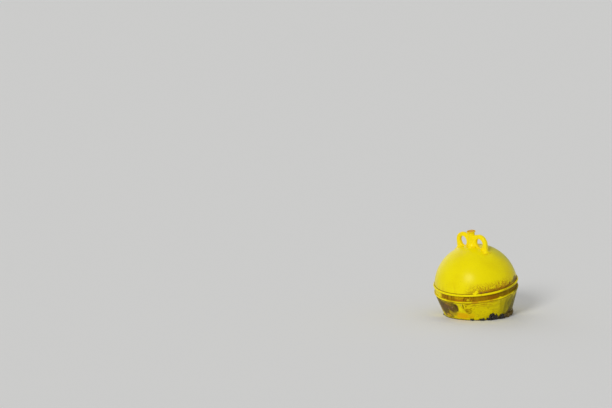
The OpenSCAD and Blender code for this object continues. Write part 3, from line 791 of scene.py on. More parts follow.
def zinc_paint():
    """Dull galvanised steel with white bloom and rust along the worn places."""
    paint = Paint("galvanised_steel", ZINC, 0.55, 0.5, metallic=0.6)
    paint.blotches(ZINC_BLOOM, 0.35, 180, 0.45, 0.6, detail=1)
    paint.blotches(ZINC_DULL, 0.8, 44, 0.5, 0.64, finish=0.7, detail=5, shift=(2, 2, 0))
    paint.blotches(RUST, 0.9, 52, 0.52, 0.62, finish=0.85, detail=6, rough=0.7, shift=(0, 7, 0))
    paint.blotches(SLIME, 0.75, 22, 0.44, 0.58, finish=0.7, detail=6, shift=(9, 3, 0))
    paint.blotches(SLIME_PALE, 0.5, 80, 0.54, 0.64, finish=0.7, detail=4, shift=(3, 9, 0))
    paint.raise_by(paint.grain(130, detail=5), 0.0006)
    return paint.done()


def shell_paint():
    """Mussels: blue black, brown at the edges and worn grey at the beak."""
    paint = Paint("mussel_shell", SHELL, 0.38, 0.5)
    paint.blotches(SHELL_BROWN, 0.8, 48, 0.46, 0.6, finish=0.5, detail=3)
    paint.blotches(SHELL_WORN, 0.8, 70, 0.58, 0.68, finish=0.55, detail=4, shift=(2, 0, 3))
    paint.blotches(SHELL_WEED, 0.7, 36, 0.6, 0.7, finish=0.7, detail=3, shift=(6, 2, 0))
    to_right = paint.math("ADD", paint.x, paint.y)
    paint.coat(paint.times(paint.ramp(to_right, 0.30, 0.36), 0.9), SHELL_SILT, 0.7)
    paint.coat(paint.times(paint.ramp(to_right, -0.34, -0.40), 0.8), SHELL_SILT_DARK, 0.7)
    paint.raise_by(paint.grain(420, detail=2), 0.0004)
    return paint.done()


def barnacle_paint():
    paint = Paint("barnacle_shell", BARNACLE, 0.8, 0.25)
    paint.blotches(BARNACLE_STAINED, 1.0, 60, 0.46, 0.62, detail=4)
    paint.blotches(BARNACLE_WEED, 0.8, 34, 0.54, 0.64, detail=4, shift=(3, 1, 1))
    paint.raise_by(paint.grain(500, detail=3), 0.0006)
    return paint.done()


# Building meshes

def arc(r, z, radius, start, stop, steps):
    """Points of an arc about (r, z), from start to stop in degrees, counted from outwards to upwards."""
    angles = [math.radians(start + (stop - start) * i / steps) for i in range(steps + 1)]
    return [(r + radius * math.cos(a), z + radius * math.sin(a)) for a in angles]


def line(start, stop, step):
    """Points between two ends, both left out, no further apart than step."""
    count = max(1, math.ceil(math.dist(start, stop) / step))
    return [(start[0] + (stop[0] - start[0]) * i / count, start[1] + (stop[1] - start[1]) * i / count)
            for i in range(1, count)]


def joined(*stretches, step=0.006):
    """One outline of all stretches, with lines between their ends."""
    points = []
    for stretch in stretches:
        if points:
            points += line(points[-1], stretch[0], step)
        points += stretch
    return points


def lie_smooth(mesh, angle=40):
    mesh.validate()
    mesh.polygons.foreach_set("use_smooth", [True] * len(mesh.polygons))
    mesh.set_sharp_from_angle(angle=math.radians(angle))


def revolve(outline, segments, lift=None, closed=True):
    """A mesh of an outline of (radius, height) turned about Z.

    The outline runs with the inside to its left, and one that isn't closed starts and ends on the axis.
    lift gives how far a point moves out, from its place and its number in the outline.
    """
    count = len(outline)
    points = np.array(outline)
    ahead, behind = np.roll(points, -1, 0), np.roll(points, 1, 0)
    along = ahead - behind
    along /= np.maximum(np.linalg.norm(along, axis=1, keepdims=True), 1e-9)
    normals = np.stack((along[:, 1], -along[:, 0]), 1)
    places = []
    for i in range(segments):
        a = 2 * math.pi * i / segments
        cos_a, sin_a = math.cos(a), math.sin(a)
        for k, (r, z) in enumerate(outline):
            out = lift(Vector((r * cos_a, r * sin_a, z)), k) if lift else 0.0
            r, z = r + normals[k, 0] * out, z + normals[k, 1] * out
            places.append((r * cos_a, r * sin_a, z))
    last = count if closed else count - 1
    faces = []
    for i in range(segments):
        a, b = i * count, (i + 1) % segments * count
        for k in range(last):
            n = (k + 1) % count
            faces.append((a + k, b + k, b + n, a + n))
    mesh = bpy.data.meshes.new("turned")
    mesh.from_pydata(places, [], faces)
    if not closed:
        weld(mesh, 1e-6)
    return mesh


def weld(mesh, distance):
    bm = bmesh.new()
    bm.from_mesh(mesh)
    bmesh.ops.remove_doubles(bm, verts=bm.verts, dist=distance)
    bmesh.ops.recalc_face_normals(bm, faces=bm.faces)
    bm.to_mesh(mesh)
    bm.free()


def piece(name, mesh, material, body, slot, *nodes, angle=40):
    """A finished object of the mesh, which moves with a body and stands for the nodes named."""
    mesh.name = name
    lie_smooth(mesh, angle)
    mesh.materials.clear()
    mesh.materials.append(material)
    made = placed(name, mesh)
    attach(made, body)
    if nodes:
        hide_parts(*nodes)
    return made


def cad_skin(node, voxel, smoothing):
    """A mesh of a CAD node's form in even small faces, softened at its edges."""
    mesh = frame["nodes"][node].data.copy()
    weld(mesh, 1e-5)
    holder = placed("skin", mesh)
    remesh = holder.modifiers.new("remesh", "REMESH")
    remesh.mode = "VOXEL"
    remesh.voxel_size = voxel
    soften = holder.modifiers.new("soften", "SMOOTH")
    soften.iterations = smoothing
    soften.factor = 0.5
    made = bpy.data.meshes.new_from_object(holder.evaluated_get(bpy.context.evaluated_depsgraph_get()))
    bpy.data.objects.remove(holder)
    return made


def shape(mesh, move):
    """Moves each point of a mesh by what move gives for its place and its normal."""
    mesh.update()
    moved = [v.co + move(v.co, v.normal) for v in mesh.vertices]
    mesh.vertices.foreach_set("co", [c for place in moved for c in place])
    mesh.update()


def from_axis(place):
    return math.hypot(place.x, place.y)


def smooth_step(value, low, high):
    t = min(1.0, max(0.0, (value - low) / (high - low)))
    return t * t * (3 - 2 * t)


def waves(place, scale, seed=0.0):
    """Smooth noise between about -1 and 1, with scale waves a metre."""
    return noise.noise(Vector((place.x * scale + seed, place.y * scale, place.z * scale)))


def bump_at(place, degrees, z, radius, wide, tall):
    """1 in the middle of a round patch on an upright surface, falling smoothly to 0 at its rim."""
    a = math.atan2(place.y, place.x) - math.radians(degrees)
    across = math.atan2(math.sin(a), math.cos(a)) * radius / wide
    away = math.hypot(across, (place.z - z) / tall)
    return 1 - smooth_step(away, 0.0, 1.0)


# Float

LUG_DEGREES = -48
LUG_Z = 0.344
LUG_SIZE = (0.013, 0.019, 0.028)
PLUG_DEGREES = -61
PLUG_Z = 0.168
DENTS = (
    # degrees, height, half width, half height, depth
    (-40, 0.170, 0.075, 0.060, 0.0030),
    (-12, 0.205, 0.060, 0.050, 0.0022),
    (-98, 0.140, 0.080, 0.055, 0.0028),
    (60, 0.120, 0.090, 0.070, 0.0030),
    (140, 0.180, 0.070, 0.060, 0.0026),
    (215, 0.100, 0.085, 0.080, 0.0032),
)
BULGES = (
    # degrees, height, half width, half height, how far it stands out
    (-60, 0.279, 0.036, 0.024, 0.006),
    (118, 0.281, 0.034, 0.018, 0.010),
)


def make_dome(material):
    """The dome with its hole for the rod, the socket under it, and the spigot that stands in the hull."""
    inner_r = DOME_R - WALL
    spigot_r = GROOVE_R - WALL - SOCKET_GAP
    socket_r = SLEEVE_R + SOCKET_GAP
    socket_outer_r = socket_r + WALL
    chamfer = 0.002

    def sphere_angle(radius, r):
        return math.degrees(math.acos(r / radius))

    seat_angle = math.degrees(math.asin((SEAT_Z - DOME_Z) / DOME_R))
    flange_angle = math.degrees(math.asin((SEAT_Z + WALL - DOME_Z) / inner_r))
    skin = arc(0, DOME_Z, DOME_R, seat_angle, sphere_angle(DOME_R, ROD_HOLE_R + chamfer), 74)
    inside = joined(
        [(ROD_HOLE_R, skin[-1][1] - chamfer), (ROD_HOLE_R, SOCKET_FLOOR_Z)],
        [(socket_r, SOCKET_FLOOR_Z), (socket_r, SOCKET_FLOOR_Z - SPIGOT_H)],
        [(socket_outer_r, SOCKET_FLOOR_Z - SPIGOT_H)],
        arc(0, DOME_Z, inner_r, sphere_angle(inner_r, socket_outer_r), flange_angle, 24),
        [(spigot_r - WALL, SEAT_Z + WALL), (spigot_r - WALL, SEAT_Z - SPIGOT_H)],
        [(spigot_r, SEAT_Z - SPIGOT_H), (spigot_r, SEAT_Z)],
        step=0.05,
    )

    def lift(place, k):
        if k >= len(skin):
            return 0.0
        high = smooth_step(place.z, 0.33, 0.40)
        broad = 0.0011 * waves(place, 5) + 0.0005 * waves(place, 17, 4)
        return high * broad + 0.00015 * waves(place, 90, 8)

    mesh = revolve(skin + inside, 320, lift)
    return piece("dome", mesh, material, "float", "yellow_plastic", "dome_shell")


def hull_outline():
    """The hull's skin from its bottom up to the lip's top, then its inside back down."""
    fillet, edge = 0.004, 0.0015
    upper_half, lower_half = UPPER_LIP_HALF, LOWER_LIP_HALF
    rebate_r = sphere_at(SEAT_Z) + REBATE_GAP
    taper = math.degrees(TAPER)
    wall_r = GROOVE_R - WALL
    inner_edge = EDGE_R - WALL
    skin = joined(
        [(SLEEVE_R - WALL, BASE_Z)],
        arc(EDGE_X, EDGE_Z, EDGE_R, -90, -taper, 14),
        [(SHOULDER_R - 0.0015, SHOULDER_Z - 0.005), (SHOULDER_R - 0.001, SHOULDER_Z - 0.001)],
        [(SHOULDER_R, SHOULDER_Z)],
        arc(LOWER_LIP_R - lower_half, LOWER_LIP_Z, lower_half, -90, 90, 12),
        arc(GROOVE_R + fillet, LOWER_LIP_Z + lower_half + fillet, fillet, 270, 180, 4),
        arc(GROOVE_R + fillet, UPPER_LIP_Z - upper_half - fillet, fillet, 180, 90, 4),
        arc(UPPER_LIP_R - upper_half, UPPER_LIP_Z, upper_half, -90, 90, 14),
        arc(rebate_r + edge, UPPER_LIP_Z + upper_half - edge, edge, 90, 180, 3),
        step=0.0055,
    )
    inside = joined(
        [(rebate_r, SEAT_Z), (wall_r, SEAT_Z), (wall_r, SHOULDER_Z - WALL)],
        arc(EDGE_X, EDGE_Z, inner_edge, -taper, -90, 8),
        [(SLEEVE_R, BASE_Z + WALL), (SLEEVE_R, SOCKET_FLOOR_Z)],
        [(SLEEVE_R - WALL, SOCKET_FLOOR_Z)],
        step=0.08,
    )
    return skin, inside


def make_hull(material):
    skin, inside = hull_outline()

    def lift(place, k):
        if k >= len(skin):
            return 0.0
        out = 0.0012 * waves(place, 6) + 0.0005 * waves(place, 22, 3) + 0.0002 * waves(place, 80, 6)
        if place.z > SHOULDER_Z - 0.004:
            out *= 0.6
        for degrees, z, wide, tall, depth in DENTS:
            out -= depth * bump_at(place, degrees, z, hull_radius(z), wide, tall)
        if SHOULDER_Z < place.z < UPPER_LIP_Z - 0.006:
            for degrees, z, wide, tall, depth in BULGES:
                out += depth * bump_at(place, degrees, z, GROOVE_R, wide, tall)
        slime = 1 - smooth_step(place.z, -0.01, 0.05)
        return out + slime * (0.0012 * waves(place, 45, 2) + 0.0008 * waves(place, 130, 1))

    mesh = revolve(skin + inside, 360, lift)
    return piece("hull", mesh, material, "float", "hull_plastic", "hull_shell")


def make_lug(material):
    """A small moulded lug that bridges the dome's foot and the lip."""
    bm = bmesh.new()
    bmesh.ops.create_cube(bm, size=1.0, matrix=Matrix.Diagonal((*LUG_SIZE, 1)))
    bmesh.ops.bevel(bm, geom=bm.edges[:], offset=0.0045, segments=4, profile=0.6, affect="EDGES")
    mesh = bpy.data.meshes.new("lug")
    bm.to_mesh(mesh)
    bm.free()
    slant = math.asin((LUG_Z - DOME_Z) / DOME_R)
    shift = Matrix.Translation((sphere_at(LUG_Z) + 0.001, 0, LUG_Z))
    turned = Matrix.Rotation(math.radians(LUG_DEGREES), 4, "Z")
    mesh.transform(turned @ shift @ Matrix.Rotation(-slant, 4, "Y"))
    shape(mesh, lambda place, normal: normal * 0.0008 * waves(place, 120))
    return piece("lip_lug", mesh, material, "float", "yellow_plastic")


def out_of_hull(degrees, z):
    """Carries a piece made about +Z to the hull's side, standing straight out of it."""
    return Matrix.Translation(on_hull(degrees, z)) @ Matrix.Rotation(math.radians(degrees), 4, "Z") \
        @ Matrix.Rotation(math.pi / 2 + TAPER, 4, "Y")


def make_plug(material):
    """The filling plug: a flat boss on the hull, and a screwed plug with a rim and a hollow in it."""
    boss_r, ring_r, face, foot, fillet = 0.037, 0.0345, 0.0030, -0.006, 0.0034
    boss = revolve(joined(
        [(0.0, face)], [(0.0, foot)], [(boss_r, foot)], [(ring_r, face - fillet)],
        arc(ring_r, face, fillet, -90, -180, 5)[1:-1],
        [(0.0308, 0.0026), (0.0300, face)], step=0.004), 96, closed=False)
    boss.transform(out_of_hull(PLUG_DEGREES, PLUG_Z))
    piece("plug_boss", boss, material, "float", "hull_plastic")
    rim, thread, well, top, floor, end = 0.024, 0.018, 0.012, 0.008, 0.004, -0.013
    body = revolve(joined(
        [(0.0, floor)], [(0.0, end)], [(thread, end)], [(thread, face), (rim, face)],
        arc(rim - 0.002, top - 0.002, 0.002, 0, 90, 4), arc(well + 0.001, top - 0.001, 0.001, 90, 180, 3),
        arc(well - 0.001, floor + 0.001, 0.001, 0, -90, 3), step=0.003), 96, closed=False)
    body.transform(out_of_hull(PLUG_DEGREES, PLUG_Z))
    return piece("plug", body, material, "float", "hull_plastic", "filling_plug")


# Lifting head

# Where an eye's leg stands, and how high up and how far its foot is drawn out
LEG_X = 0.1635
FOOT_LIFT = 0.024
FOOT_REACH = 0.017


def sink_into_dome(place):
    """How far a point of the head goes down into the dome, so that its border leaves no gap."""
    off = place - Vector((0, 0, DOME_Z))
    over = off.length - DOME_R
    return -off.normalized() * 0.004 * (1 - smooth_step(over, 0.0005, 0.0035))


def run_out(place, side):
    """Draws the foot of an eye's leg out over the dome, thin at its border."""
    off = place - Vector((0, 0, DOME_Z))
    over = off.length - DOME_R
    away = Vector((place.x - side * LEG_X, place.y, 0))
    if place.x * side < LEG_X - 0.03 or over > FOOT_LIFT:
        return Vector()
    low = (1 - smooth_step(over, 0.0, FOOT_LIFT)) * smooth_step(away.length, 0.010, 0.024)
    low *= smooth_step(place.x * side, LEG_X - 0.03, LEG_X - 0.01)
    moved = off + away.normalized() * FOOT_REACH * low
    return moved.normalized() * (DOME_R + over * (1 - 0.35 * low)) - off


def make_eye(name, node, side, material):
    mesh = cad_skin(node, 0.0021, 6)
    middle = Vector((side * EYE_X, 0, frame["record"]["mounts"][1]["pos_m"][2]))

    def move(place, normal):
        out = 0.0009 * waves(place, 14) + 0.00035 * waves(place, 55, 5)
        step = normal * out + sink_into_dome(place) + run_out(place, side)
        across = place - middle
        to_hole = 1 - smooth_step(math.hypot(across.x, across.z), EYE_R + 0.002, EYE_R + 0.016)
        step += to_hole * Vector((-across.x * 0.08, 0, across.z * 0.04))
        to_neck = 1 - smooth_step(from_axis(place), 0.0335, 0.038)
        if place.z > DOME_Z + DOME_R + 0.01:
            step += to_neck * Vector((-side * 0.005, 0, 0))
        return step

    shape(mesh, move)
    return piece(name, mesh, material, "float", "head_plastic", node, angle=50)


def make_post(material):
    mesh = cad_skin("top_post", 0.0017, 5)

    def move(place, normal):
        radius = from_axis(place)
        if radius < 0.030 and place.z < POST_TOP_Z - 0.001:
            return Vector()
        out = 0.0007 * waves(place, 18, 2) + 0.0003 * waves(place, 70, 7)
        return normal * out + sink_into_dome(place)

    shape(mesh, move)
    return piece("post", mesh, material, "float", "head_plastic", "top_post", angle=50)


# Rod and mooring gear

HEAD_R = 0.027
HEAD_H = 0.008
HEAD_EDGE = 0.0035
ROD_R = 0.015
STEM_R = 0.013
BOLT_R = 0.011
EAR_END_Y = 0.035
ROD_NUT_WIDTH = 0.046
BOLT_NUT_WIDTH = 0.032
BORE_GAP = 0.0001
PITCH = 0.003
TIP = 0.002


def with_thread(outline, radius, top):
    """The outline with points close enough for a thread, where it runs at that radius below top."""
    fine = []
    for a, b in zip(outline, outline[1:]):
        fine.append(a)
        if a[0] == b[0] == radius and a[1] < top:
            fine += line(a, b, PITCH / 6)
    return fine + outline[-1:]


def thread_cut(place, depth):
    turn = (place.z / PITCH - math.atan2(place.y, place.x) / (2 * math.pi)) % 1
    return -depth * (1 - abs(2 * turn - 1))


def washer_outline(hole_r, outer_r, low_z, high_z, chamfer, edge, steps, step):
    """A flat ring with a chamfered hole and round outer edges."""
    return joined(
        [(hole_r, high_z - chamfer), (hole_r, low_z + chamfer), (hole_r + chamfer, low_z)],
        arc(outer_r - edge, low_z + edge, edge, -90, 0, steps),
        arc(outer_r - edge, high_z - edge, edge, 0, 90, steps),
        [(hole_r + chamfer, high_z)],
        step=step,
    )


def make_rod(material):
    """The rod: a round rusty head above, a smooth shank, and a threaded stem with a rounded end."""
    nut_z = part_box("rod_nut")[0].z
    end_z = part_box("mooring_rod")[0].z
    top_z = POST_TOP_Z
    crown = 0.0012
    outline = joined(
        [(0.0, end_z)],
        [(STEM_R - TIP, end_z), (STEM_R, end_z + TIP)],
        [(STEM_R, nut_z), (ROD_R, nut_z)],
        [(ROD_R, top_z - HEAD_H), (HEAD_R, top_z - HEAD_H)],
        arc(HEAD_R - HEAD_EDGE, top_z - HEAD_EDGE, HEAD_EDGE, 0, 80, 5),
        [(HEAD_R * 0.55, top_z + crown * 0.7)],
        [(0.0, top_z + crown)],
        step=0.0025,
    )

    def lift(place, k):
        radius = from_axis(place)
        if place.z > top_z - HEAD_H - 0.001:
            return 0.0005 * waves(place, 90) + 0.0004 * waves(place, 230, 3)
        if end_z + 0.001 < place.z < nut_z - 0.004 and abs(radius - STEM_R) < 0.0005:
            return thread_cut(place, 0.0012)
        return 0.0

    mesh = revolve(with_thread(outline, STEM_R, nut_z), 72, lift, closed=False)
    return piece("rod", mesh, material, "float", "rusty_steel", "mooring_rod")


def make_bottom_plate(material):
    low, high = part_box("bottom_plate")
    outline = washer_outline(ROD_R + BORE_GAP, high.x, low.z, high.z, 0.001, 0.0025, 4, 0.004)

    def lift(place, k):
        rough = 0.0005 * (waves(place, 60, 4) + 0.6 * waves(place, 150, 7))
        return rough * smooth_step(from_axis(place), 0.02, 0.03)

    mesh = revolve(outline, 180, lift)
    return piece("plate", mesh, material, "float", "galvanised_steel", "bottom_plate")


def hex_nut(width, hole_r, height):
    """A six-sided nut about Z, from height 0 up, with chamfered corners and a countersunk hole."""
    flat = width / 2
    corner = flat / math.cos(math.pi / 6)
    slope = math.tan(math.radians(30))
    bevel = (corner - flat) * slope
    sink = 0.0008
    below = [(hole_r, sink), (hole_r + sink, 0.0), (flat * 0.96, 0.0)]
    below += [(corner, bevel * t + 1e-5) for t in (0.0, 0.35, 0.7, 1.0)]
    above = [(r, height - z) for r, z in reversed(below)]
    mesh = revolve(below + line((corner, bevel), (corner, height - bevel), 0.002) + above, 120)

    def press(place, normal):
        radius = from_axis(place)
        if radius < flat * 0.97:
            return Vector()
        a = math.atan2(place.y, place.x) % (math.pi / 3) - math.pi / 6
        edge = min(place.z, height - place.z)
        limit = min(flat / math.cos(a), flat * 0.985 + max(edge, 0) / slope)
        pressed = min(radius, limit)
        return Vector((place.x, place.y, 0)) * (pressed / radius - 1)

    shape(mesh, press)
    return mesh


def corrode(mesh, amount, seed):
    """Works scale and pits into a mesh."""
    def move(place, normal):
        return normal * amount * (waves(place, 70, seed) + 0.7 * waves(place, 190, seed + 2))

    shape(mesh, move)


def make_rod_nut(material):
    low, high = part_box("rod_nut")
    mesh = hex_nut(ROD_NUT_WIDTH, ROD_R, high.z - low.z)
    mesh.transform(Matrix.Translation((0, 0, low.z)))
    corrode(mesh, 0.0003, 1)
    return piece("nut_on_rod", mesh, material, "float", "rusty_steel", "rod_nut", angle=30)


def make_stem_nut(material):
    """A round nut with four spanner slots cut down its side."""
    low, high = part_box("stem_nut")
    nut_r = high.x
    slot_half, slot_depth = 0.0022, 0.003
    outline = washer_outline(STEM_R, nut_r, low.z, high.z, 0.0006, 0.0015, 3, 0.0014)

    def lift(place, k):
        radius = from_axis(place)
        if radius < nut_r - 0.004:
            return 0.0
        a = (math.atan2(place.y, place.x) + math.pi / 4) % (math.pi / 2) - math.pi / 4
        slot = 1 - smooth_step(abs(a) * nut_r, slot_half, slot_half + 0.001)
        side = smooth_step(radius, nut_r - 0.002, nut_r - 0.0005)
        below = 1 - smooth_step(place.z, high.z - 0.003, high.z - 0.002)
        return -slot_depth * slot * (side * below) + 0.00015 * waves(place, 120)

    mesh = revolve(outline, 160, lift)
    return piece("nut_on_stem", mesh, material, "float", "rusty_steel", "stem_nut", angle=35)


PIN_BORE = (Vector((0, 0, PIN_Z)), Vector((0, 1, 0)), BOLT_R + BORE_GAP)
STEM_BORE = (Vector(), Vector((0, 0, 1)), STEM_R + BORE_GAP)


def forged(node, voxel, smoothing, amount, seed, *bores):
    """A CAD node's form as a rough forging. bores are (point on the axis, axis, radius), and stay clear."""
    mesh = cad_skin(node, voxel, smoothing)

    def move(place, normal):
        rough = waves(place, 45, seed) + 0.8 * waves(place, 130, seed + 2) + 0.4 * waves(place, 300, seed + 5)
        step = normal * (amount * rough)
        for point, axis, radius in bores:
            off = place - point
            off -= axis * off.dot(axis)
            away = off.length
            if away < radius + 0.0025:
                step = off.normalized() * max(0.0, radius + 0.0004 - away)
        return step

    shape(mesh, move)
    return mesh


def make_swivel(material):
    mesh = forged("swivel", 0.0018, 4, 0.0005, 9, PIN_BORE, STEM_BORE)
    return piece("swivel_forging", mesh, material, "swivel", "rusty_steel", "swivel", angle=50)


def make_bow(material):
    mesh = forged("shackle_bow", 0.0015, 3, 0.0004, 13, PIN_BORE)
    return piece("shackle_forging", mesh, material, "shackle", "rusty_steel", "shackle_bow", angle=50)


def make_bolt(material):
    """The shackle's pin, with a rounded head and a threaded end."""
    low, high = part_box("shackle_pin")
    head_r, head_end, end = (high.x - low.x) / 2, low.y, high.y
    nut_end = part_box("shackle_nut")[1].y
    edge = 0.002
    outline = joined(
        [(0.0, -end)], [(BOLT_R - TIP, -end), (BOLT_R, -end + TIP)],
        [(BOLT_R, EAR_END_Y), (head_r, EAR_END_Y)],
        arc(head_r - edge, -head_end - edge, edge, 0, 90, 4),
        [(0.0, -head_end)], step=0.0022,
    )

    def lift(place, k):
        radius = from_axis(place)
        if abs(radius - BOLT_R) < 0.0005 and place.z < -nut_end + 0.001:
            return thread_cut(place, 0.0011)
        return 0.0002 * waves(place, 100, 3) if radius > BOLT_R + 0.002 else 0.0

    mesh = revolve(with_thread(outline, BOLT_R, -EAR_END_Y), 72, lift, closed=False)
    mesh.transform(Matrix.Translation((0, 0, PIN_Z)) @ Matrix.Rotation(math.pi / 2, 4, "X"))
    return piece("shackle_bolt", mesh, material, "shackle", "galvanised_steel", "shackle_pin", angle=35)


def make_bolt_nut(material):
    low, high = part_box("shackle_nut")
    mesh = hex_nut(BOLT_NUT_WIDTH, BOLT_R, high.y - low.y)
    mesh.transform(Matrix.Translation((0, high.y, PIN_Z)) @ Matrix.Rotation(math.pi / 2, 4, "X"))
    corrode(mesh, 0.0002, 6)
    return piece("bolt_nut", mesh, material, "shackle", "galvanised_steel", "shackle_nut", angle=30)


def bands(rings, sides, first=0):
    """The faces between rings of points that follow each other in a mesh, from the point numbered first."""
    faces = []
    for a in range(first, first + (rings - 1) * sides, sides):
        for k in range(sides):
            n = (k + 1) % sides
            faces.append((a + k, a + n, a + sides + n, a + sides + k))
    return faces


def tube(path, radius, sides=10):
    """A round bar of even thickness along a path of points, closed at its ends."""
    points = [Vector(p) for p in path]
    rings, across = [], None
    for i, p in enumerate(points):
        ahead = (points[min(i + 1, len(points) - 1)] - points[max(i - 1, 0)]).normalized()
        if across is None:
            across = ahead.orthogonal().normalized()
        across = (across - ahead * across.dot(ahead)).normalized()
        other = ahead.cross(across)
        for k in range(sides):
            a = 2 * math.pi * k / sides
            rings.append(p + radius * (math.cos(a) * across + math.sin(a) * other))
    faces = bands(len(points), sides)
    faces.append(tuple(range(sides))[::-1])
    faces.append(tuple(range((len(points) - 1) * sides, len(points) * sides)))
    mesh = bpy.data.meshes.new("tube")
    mesh.from_pydata([tuple(p) for p in rings], [], faces)
    return mesh


def make_split_pin(material):
    """Bent through the bolt's end: an eye on one side, two legs spread on the other."""
    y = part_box("shackle_nut")[1].y + 0.003
    wire, eye = 0.0013, 0.0032
    top, bottom = PIN_Z + BOLT_R, PIN_Z - BOLT_R
    loop = [(eye * math.sin(a), y, top + 0.002 + eye + eye * math.cos(a))
            for a in (math.radians(d) for d in range(-165, 166, 15))]
    leg = ((wire * 0.9, top + 0.001), (wire * 0.9, bottom - 0.001), (wire * 1.6, bottom - 0.0035),
           (0.0055, bottom - 0.0058), (0.0105, bottom - 0.0050))
    left, right = [[(side * x, y, z) for x, z in leg] for side in (-1, 1)]
    return piece("split_pin", tube(left[::-1] + loop + right, wire), material, "shackle", "galvanised_steel")


# Growth

def shell_form(rings=9, sides=10):
    """Points and faces of a mussel of length 1, upright on its beak, with its edge along X."""
    points = [(0, 0, 0)]
    for i in range(1, rings + 1):
        u = i / (rings + 1)
        wide = 0.27 * math.sin(math.pi * u ** 1.4) ** 0.7
        thick = 0.19 * math.sin(math.pi * u ** 0.9) ** 0.8
        bend = 0.10 * math.sin(math.pi * u)
        for k in range(sides):
            a = 2 * math.pi * k / sides
            points.append((bend + wide * math.cos(a), thick * math.sin(a) * abs(math.sin(a)) ** 0.25, u))
    points.append((0, 0, 1))
    faces = bands(rings, sides, 1)
    tip = len(points) - 1
    for k in range(sides):
        n = (k + 1) % sides
        faces += [(0, 1 + n, 1 + k), (tip - sides + k, tip - sides + n, tip)]
    return np.array(points, float), faces


def barnacle_form(sides=12):
    """Points and faces of a barnacle of base radius 1: a ribbed cone with a hollow top."""
    # radius, height, rib
    rings = ((1.0, -0.1, 0.10), (0.80, 0.42, 0.09), (0.55, 0.84, 0.05), (0.42, 0.88, 0.0), (0.30, 0.50, 0.0))
    points = []
    for radius, z, rib in rings:
        for k in range(sides):
            a = 2 * math.pi * k / sides
            r = radius * (1 + rib * (1 if k % 2 else -1))
            points.append((r * math.cos(a), r * math.sin(a), z))
    points.append((0, 0, 0.46))
    middle = len(points) - 1
    faces = bands(len(rings), sides)
    faces += [(middle - sides + k, middle - sides + (k + 1) % sides, middle) for k in range(sides)]
    return np.array(points, float), faces


def scattered(form, matrices):
    """One mesh of a form at many places."""
    points, faces = form
    full = np.hstack((points, np.ones((len(points), 1))))
    places, loops = [], []
    for n, matrix in enumerate(matrices):
        places.append((full @ np.array(matrix).T)[:, :3])
        loops += [tuple(i + n * len(points) for i in face) for face in faces]
    mesh = bpy.data.meshes.new("growth")
    mesh.from_pydata(np.vstack(places).tolist(), [], loops)
    return mesh


def hull_normal(degrees):
    a = math.radians(degrees)
    return Vector((math.cos(a) * math.cos(TAPER), math.sin(a) * math.cos(TAPER), -math.sin(TAPER)))


def standing(rng, foot, normal, scale, tilt=0.0):
    """Stands a form on foot, along the normal tipped over by tilt towards any side."""
    upright = normal.to_track_quat("Z", "Y").to_matrix().to_4x4()
    lean = Matrix.Rotation(rng.uniform(0, 2 * math.pi), 4, "Z") @ Matrix.Rotation(tilt, 4, "X")
    spin = Matrix.Rotation(rng.uniform(0, 2 * math.pi), 4, "Z")
    return Matrix.Translation(foot) @ upright @ lean @ spin @ Matrix.Diagonal((*scale, 1))


def on_side(rng, degrees, height, out, scale, tilt=0.0):
    """Stands a form on the hull's side, or proud of it by out."""
    return standing(rng, on_hull(degrees, height, out), hull_normal(degrees), scale, tilt)


# A mound of mussels at its full size: radius, height and how far apart two stand
MOUND_R = 0.028
MOUND_H = 0.017
MOUND_PITCH = 0.032
SINGLE_MUSSELS = 170
HULL_BARNACLES = 360
PLATE_BARNACLES = 60
CLUMPS = (
    # degrees, height in millimetres, mounds side by side, share of their full size,
    # shells on each, share of a shell's full size
    (-24, 58, 4, 0.68, 13, 1.0),
    (-20, 75, 2, 0.43, 7, 0.9),
    (-25, 91, 3, 0.32, 6, 1.2),
    (-27, 104, 2, 0.28, 5, 1.1),
    (-8, 66, 2, 0.32, 6, 1.1),
    (-3, 43, 2, 0.89, 18, 1.0),
    (-42, 64, 1, 0.43, 12, 1.35),
    (-58, 67, 1, 0.32, 9, 1.35),
    (-71, 14, 2, 0.82, 14, 0.9),
    (-90, 6, 2, 0.89, 14, 0.9),
    (14, 25, 2, 0.93, 20, 0.7),
    (31, 12, 2, 0.96, 20, 0.5),
    (49, 2, 2, 0.89, 20, 0.5),
    (67, -8, 2, 1.00, 20, 0.8),
    (88, -14, 2, 0.93, 16, 1.0),
    (110, -20, 2, 1.00, 18, 1.0),
    (133, -22, 2, 0.96, 16, 1.0),
    (156, -14, 2, 1.00, 18, 1.0),
    (180, -6, 2, 0.93, 16, 1.0),
    (203, 6, 2, 0.93, 18, 0.8),
    (227, 18, 2, 0.89, 20, 0.45),
    (249, 22, 2, 0.71, 18, 0.45),
)


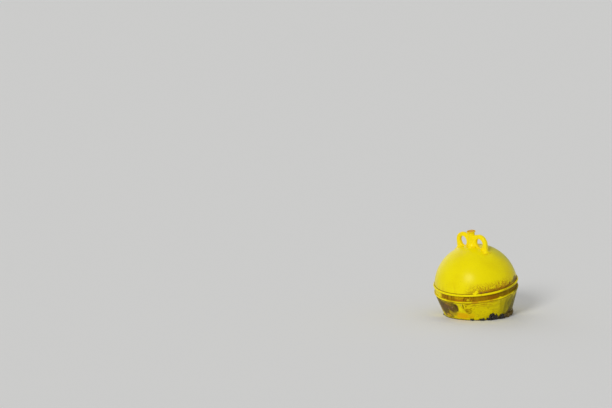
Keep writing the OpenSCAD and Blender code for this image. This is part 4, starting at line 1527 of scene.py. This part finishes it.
def make_mussels(material):
    """Mounds of matted shells round the waterline with whole ones on them, and single ones below."""
    rng = random.Random(11)
    matrices = []
    for degrees, z, mounds, size, count, shell in CLUMPS:
        apart = math.degrees(MOUND_PITCH * size / hull_radius(z / 1000))
        for n in range(mounds * count):
            a, share = rng.uniform(0, 2 * math.pi), math.sqrt(rng.random())
            height = z / 1000 + MOUND_R * size * share * math.sin(a)
            turn = degrees + (n % mounds - (mounds - 1) / 2) * apart
            turn += math.degrees(MOUND_R * size * share * math.cos(a) / hull_radius(height))
            length = rng.uniform(0.016, 0.032) * (0.55 + 0.5 * size) * shell
            out = MOUND_H * size * (1 - share ** 2) - 0.004
            scale = (length * rng.uniform(0.85, 1.15), length, length)
            tilt = math.radians(rng.uniform(86 - 38 * shell, 86))
            matrices.append(on_side(rng, turn, height, out, scale, tilt))
    for _ in range(SINGLE_MUSSELS):
        turn, height = rng.uniform(0, 360), rng.triangular(-0.16, 0.02, -0.02)
        length = rng.uniform(0.012, 0.028)
        tilt = math.radians(rng.uniform(50, 85))
        matrices.append(on_side(rng, turn, height, -0.002, (length,) * 3, tilt))
    piece("mussels", scattered(shell_form(), matrices), material, "float", "sea_growth", angle=60)
    mat = cad_skin("mussel_growth", 0.003, 2)
    shape(mat, lambda place, normal: normal * 0.0022 * (waves(place, 110, 3) + 0.8 * waves(place, 260, 5)))
    return piece("mussel_mat", mat, material, "float", "sea_growth", "mussel_growth", angle=60)


def make_barnacles(material):
    """Barnacles on the wet part of the hull, thinning out downwards, and on the plate."""
    rng = random.Random(23)
    matrices = []
    for _ in range(HULL_BARNACLES):
        turn, height = rng.uniform(0, 360), rng.triangular(-0.23, 0.035, -0.03)
        size = rng.uniform(0.0022, 0.0070)
        scale = (size, size * rng.uniform(0.85, 1.1), size * rng.uniform(0.7, 1.2))
        matrices.append(on_side(rng, turn, height, -0.0006, scale))
    for _ in range(PLATE_BARNACLES):
        a, r = rng.uniform(0, 2 * math.pi), rng.uniform(0.12, 0.17)
        size = rng.uniform(0.0025, 0.0060)
        foot = Vector((r * math.cos(a), r * math.sin(a), BASE_Z + 0.0006))
        matrices.append(standing(rng, foot, Vector((0, 0, -1)), (size, size, size * 0.8)))
    mesh = scattered(barnacle_form(), matrices)
    return piece("barnacles", mesh, material, "float", "hull_plastic", angle=60)


# Making the scene

bpy.context.scene.view_settings.view_transform = "Standard"
make_camera()
make_world()
make_floor()
right, up, back = view_axes()
sun("key", -0.327 * right + 0.304 * up + 0.893 * back, 1.5, 16)
sun("fill", -0.5 * right + 0.7 * up - 0.8 * back, 0.5, 60)

dome_plastic = dome_paint()
head_plastic = head_paint()
hull_plastic = hull_paint()
rust = rust_paint()
zinc = zinc_paint()

make_dome(dome_plastic)
make_hull(hull_plastic)
make_lug(dome_plastic)
make_plug(hull_plastic)
make_eye("eye_right", "lifting_eye_right", 1, head_plastic)
make_eye("eye_left", "lifting_eye_left", -1, head_plastic)
make_post(head_plastic)
make_rod(rust)
make_bottom_plate(zinc)
make_rod_nut(rust)
make_stem_nut(rust)
make_swivel(rust)
make_bow(rust)
make_bolt(zinc)
make_bolt_nut(zinc)
make_split_pin(zinc)
make_mussels(shell_paint())
make_barnacles(barnacle_paint())
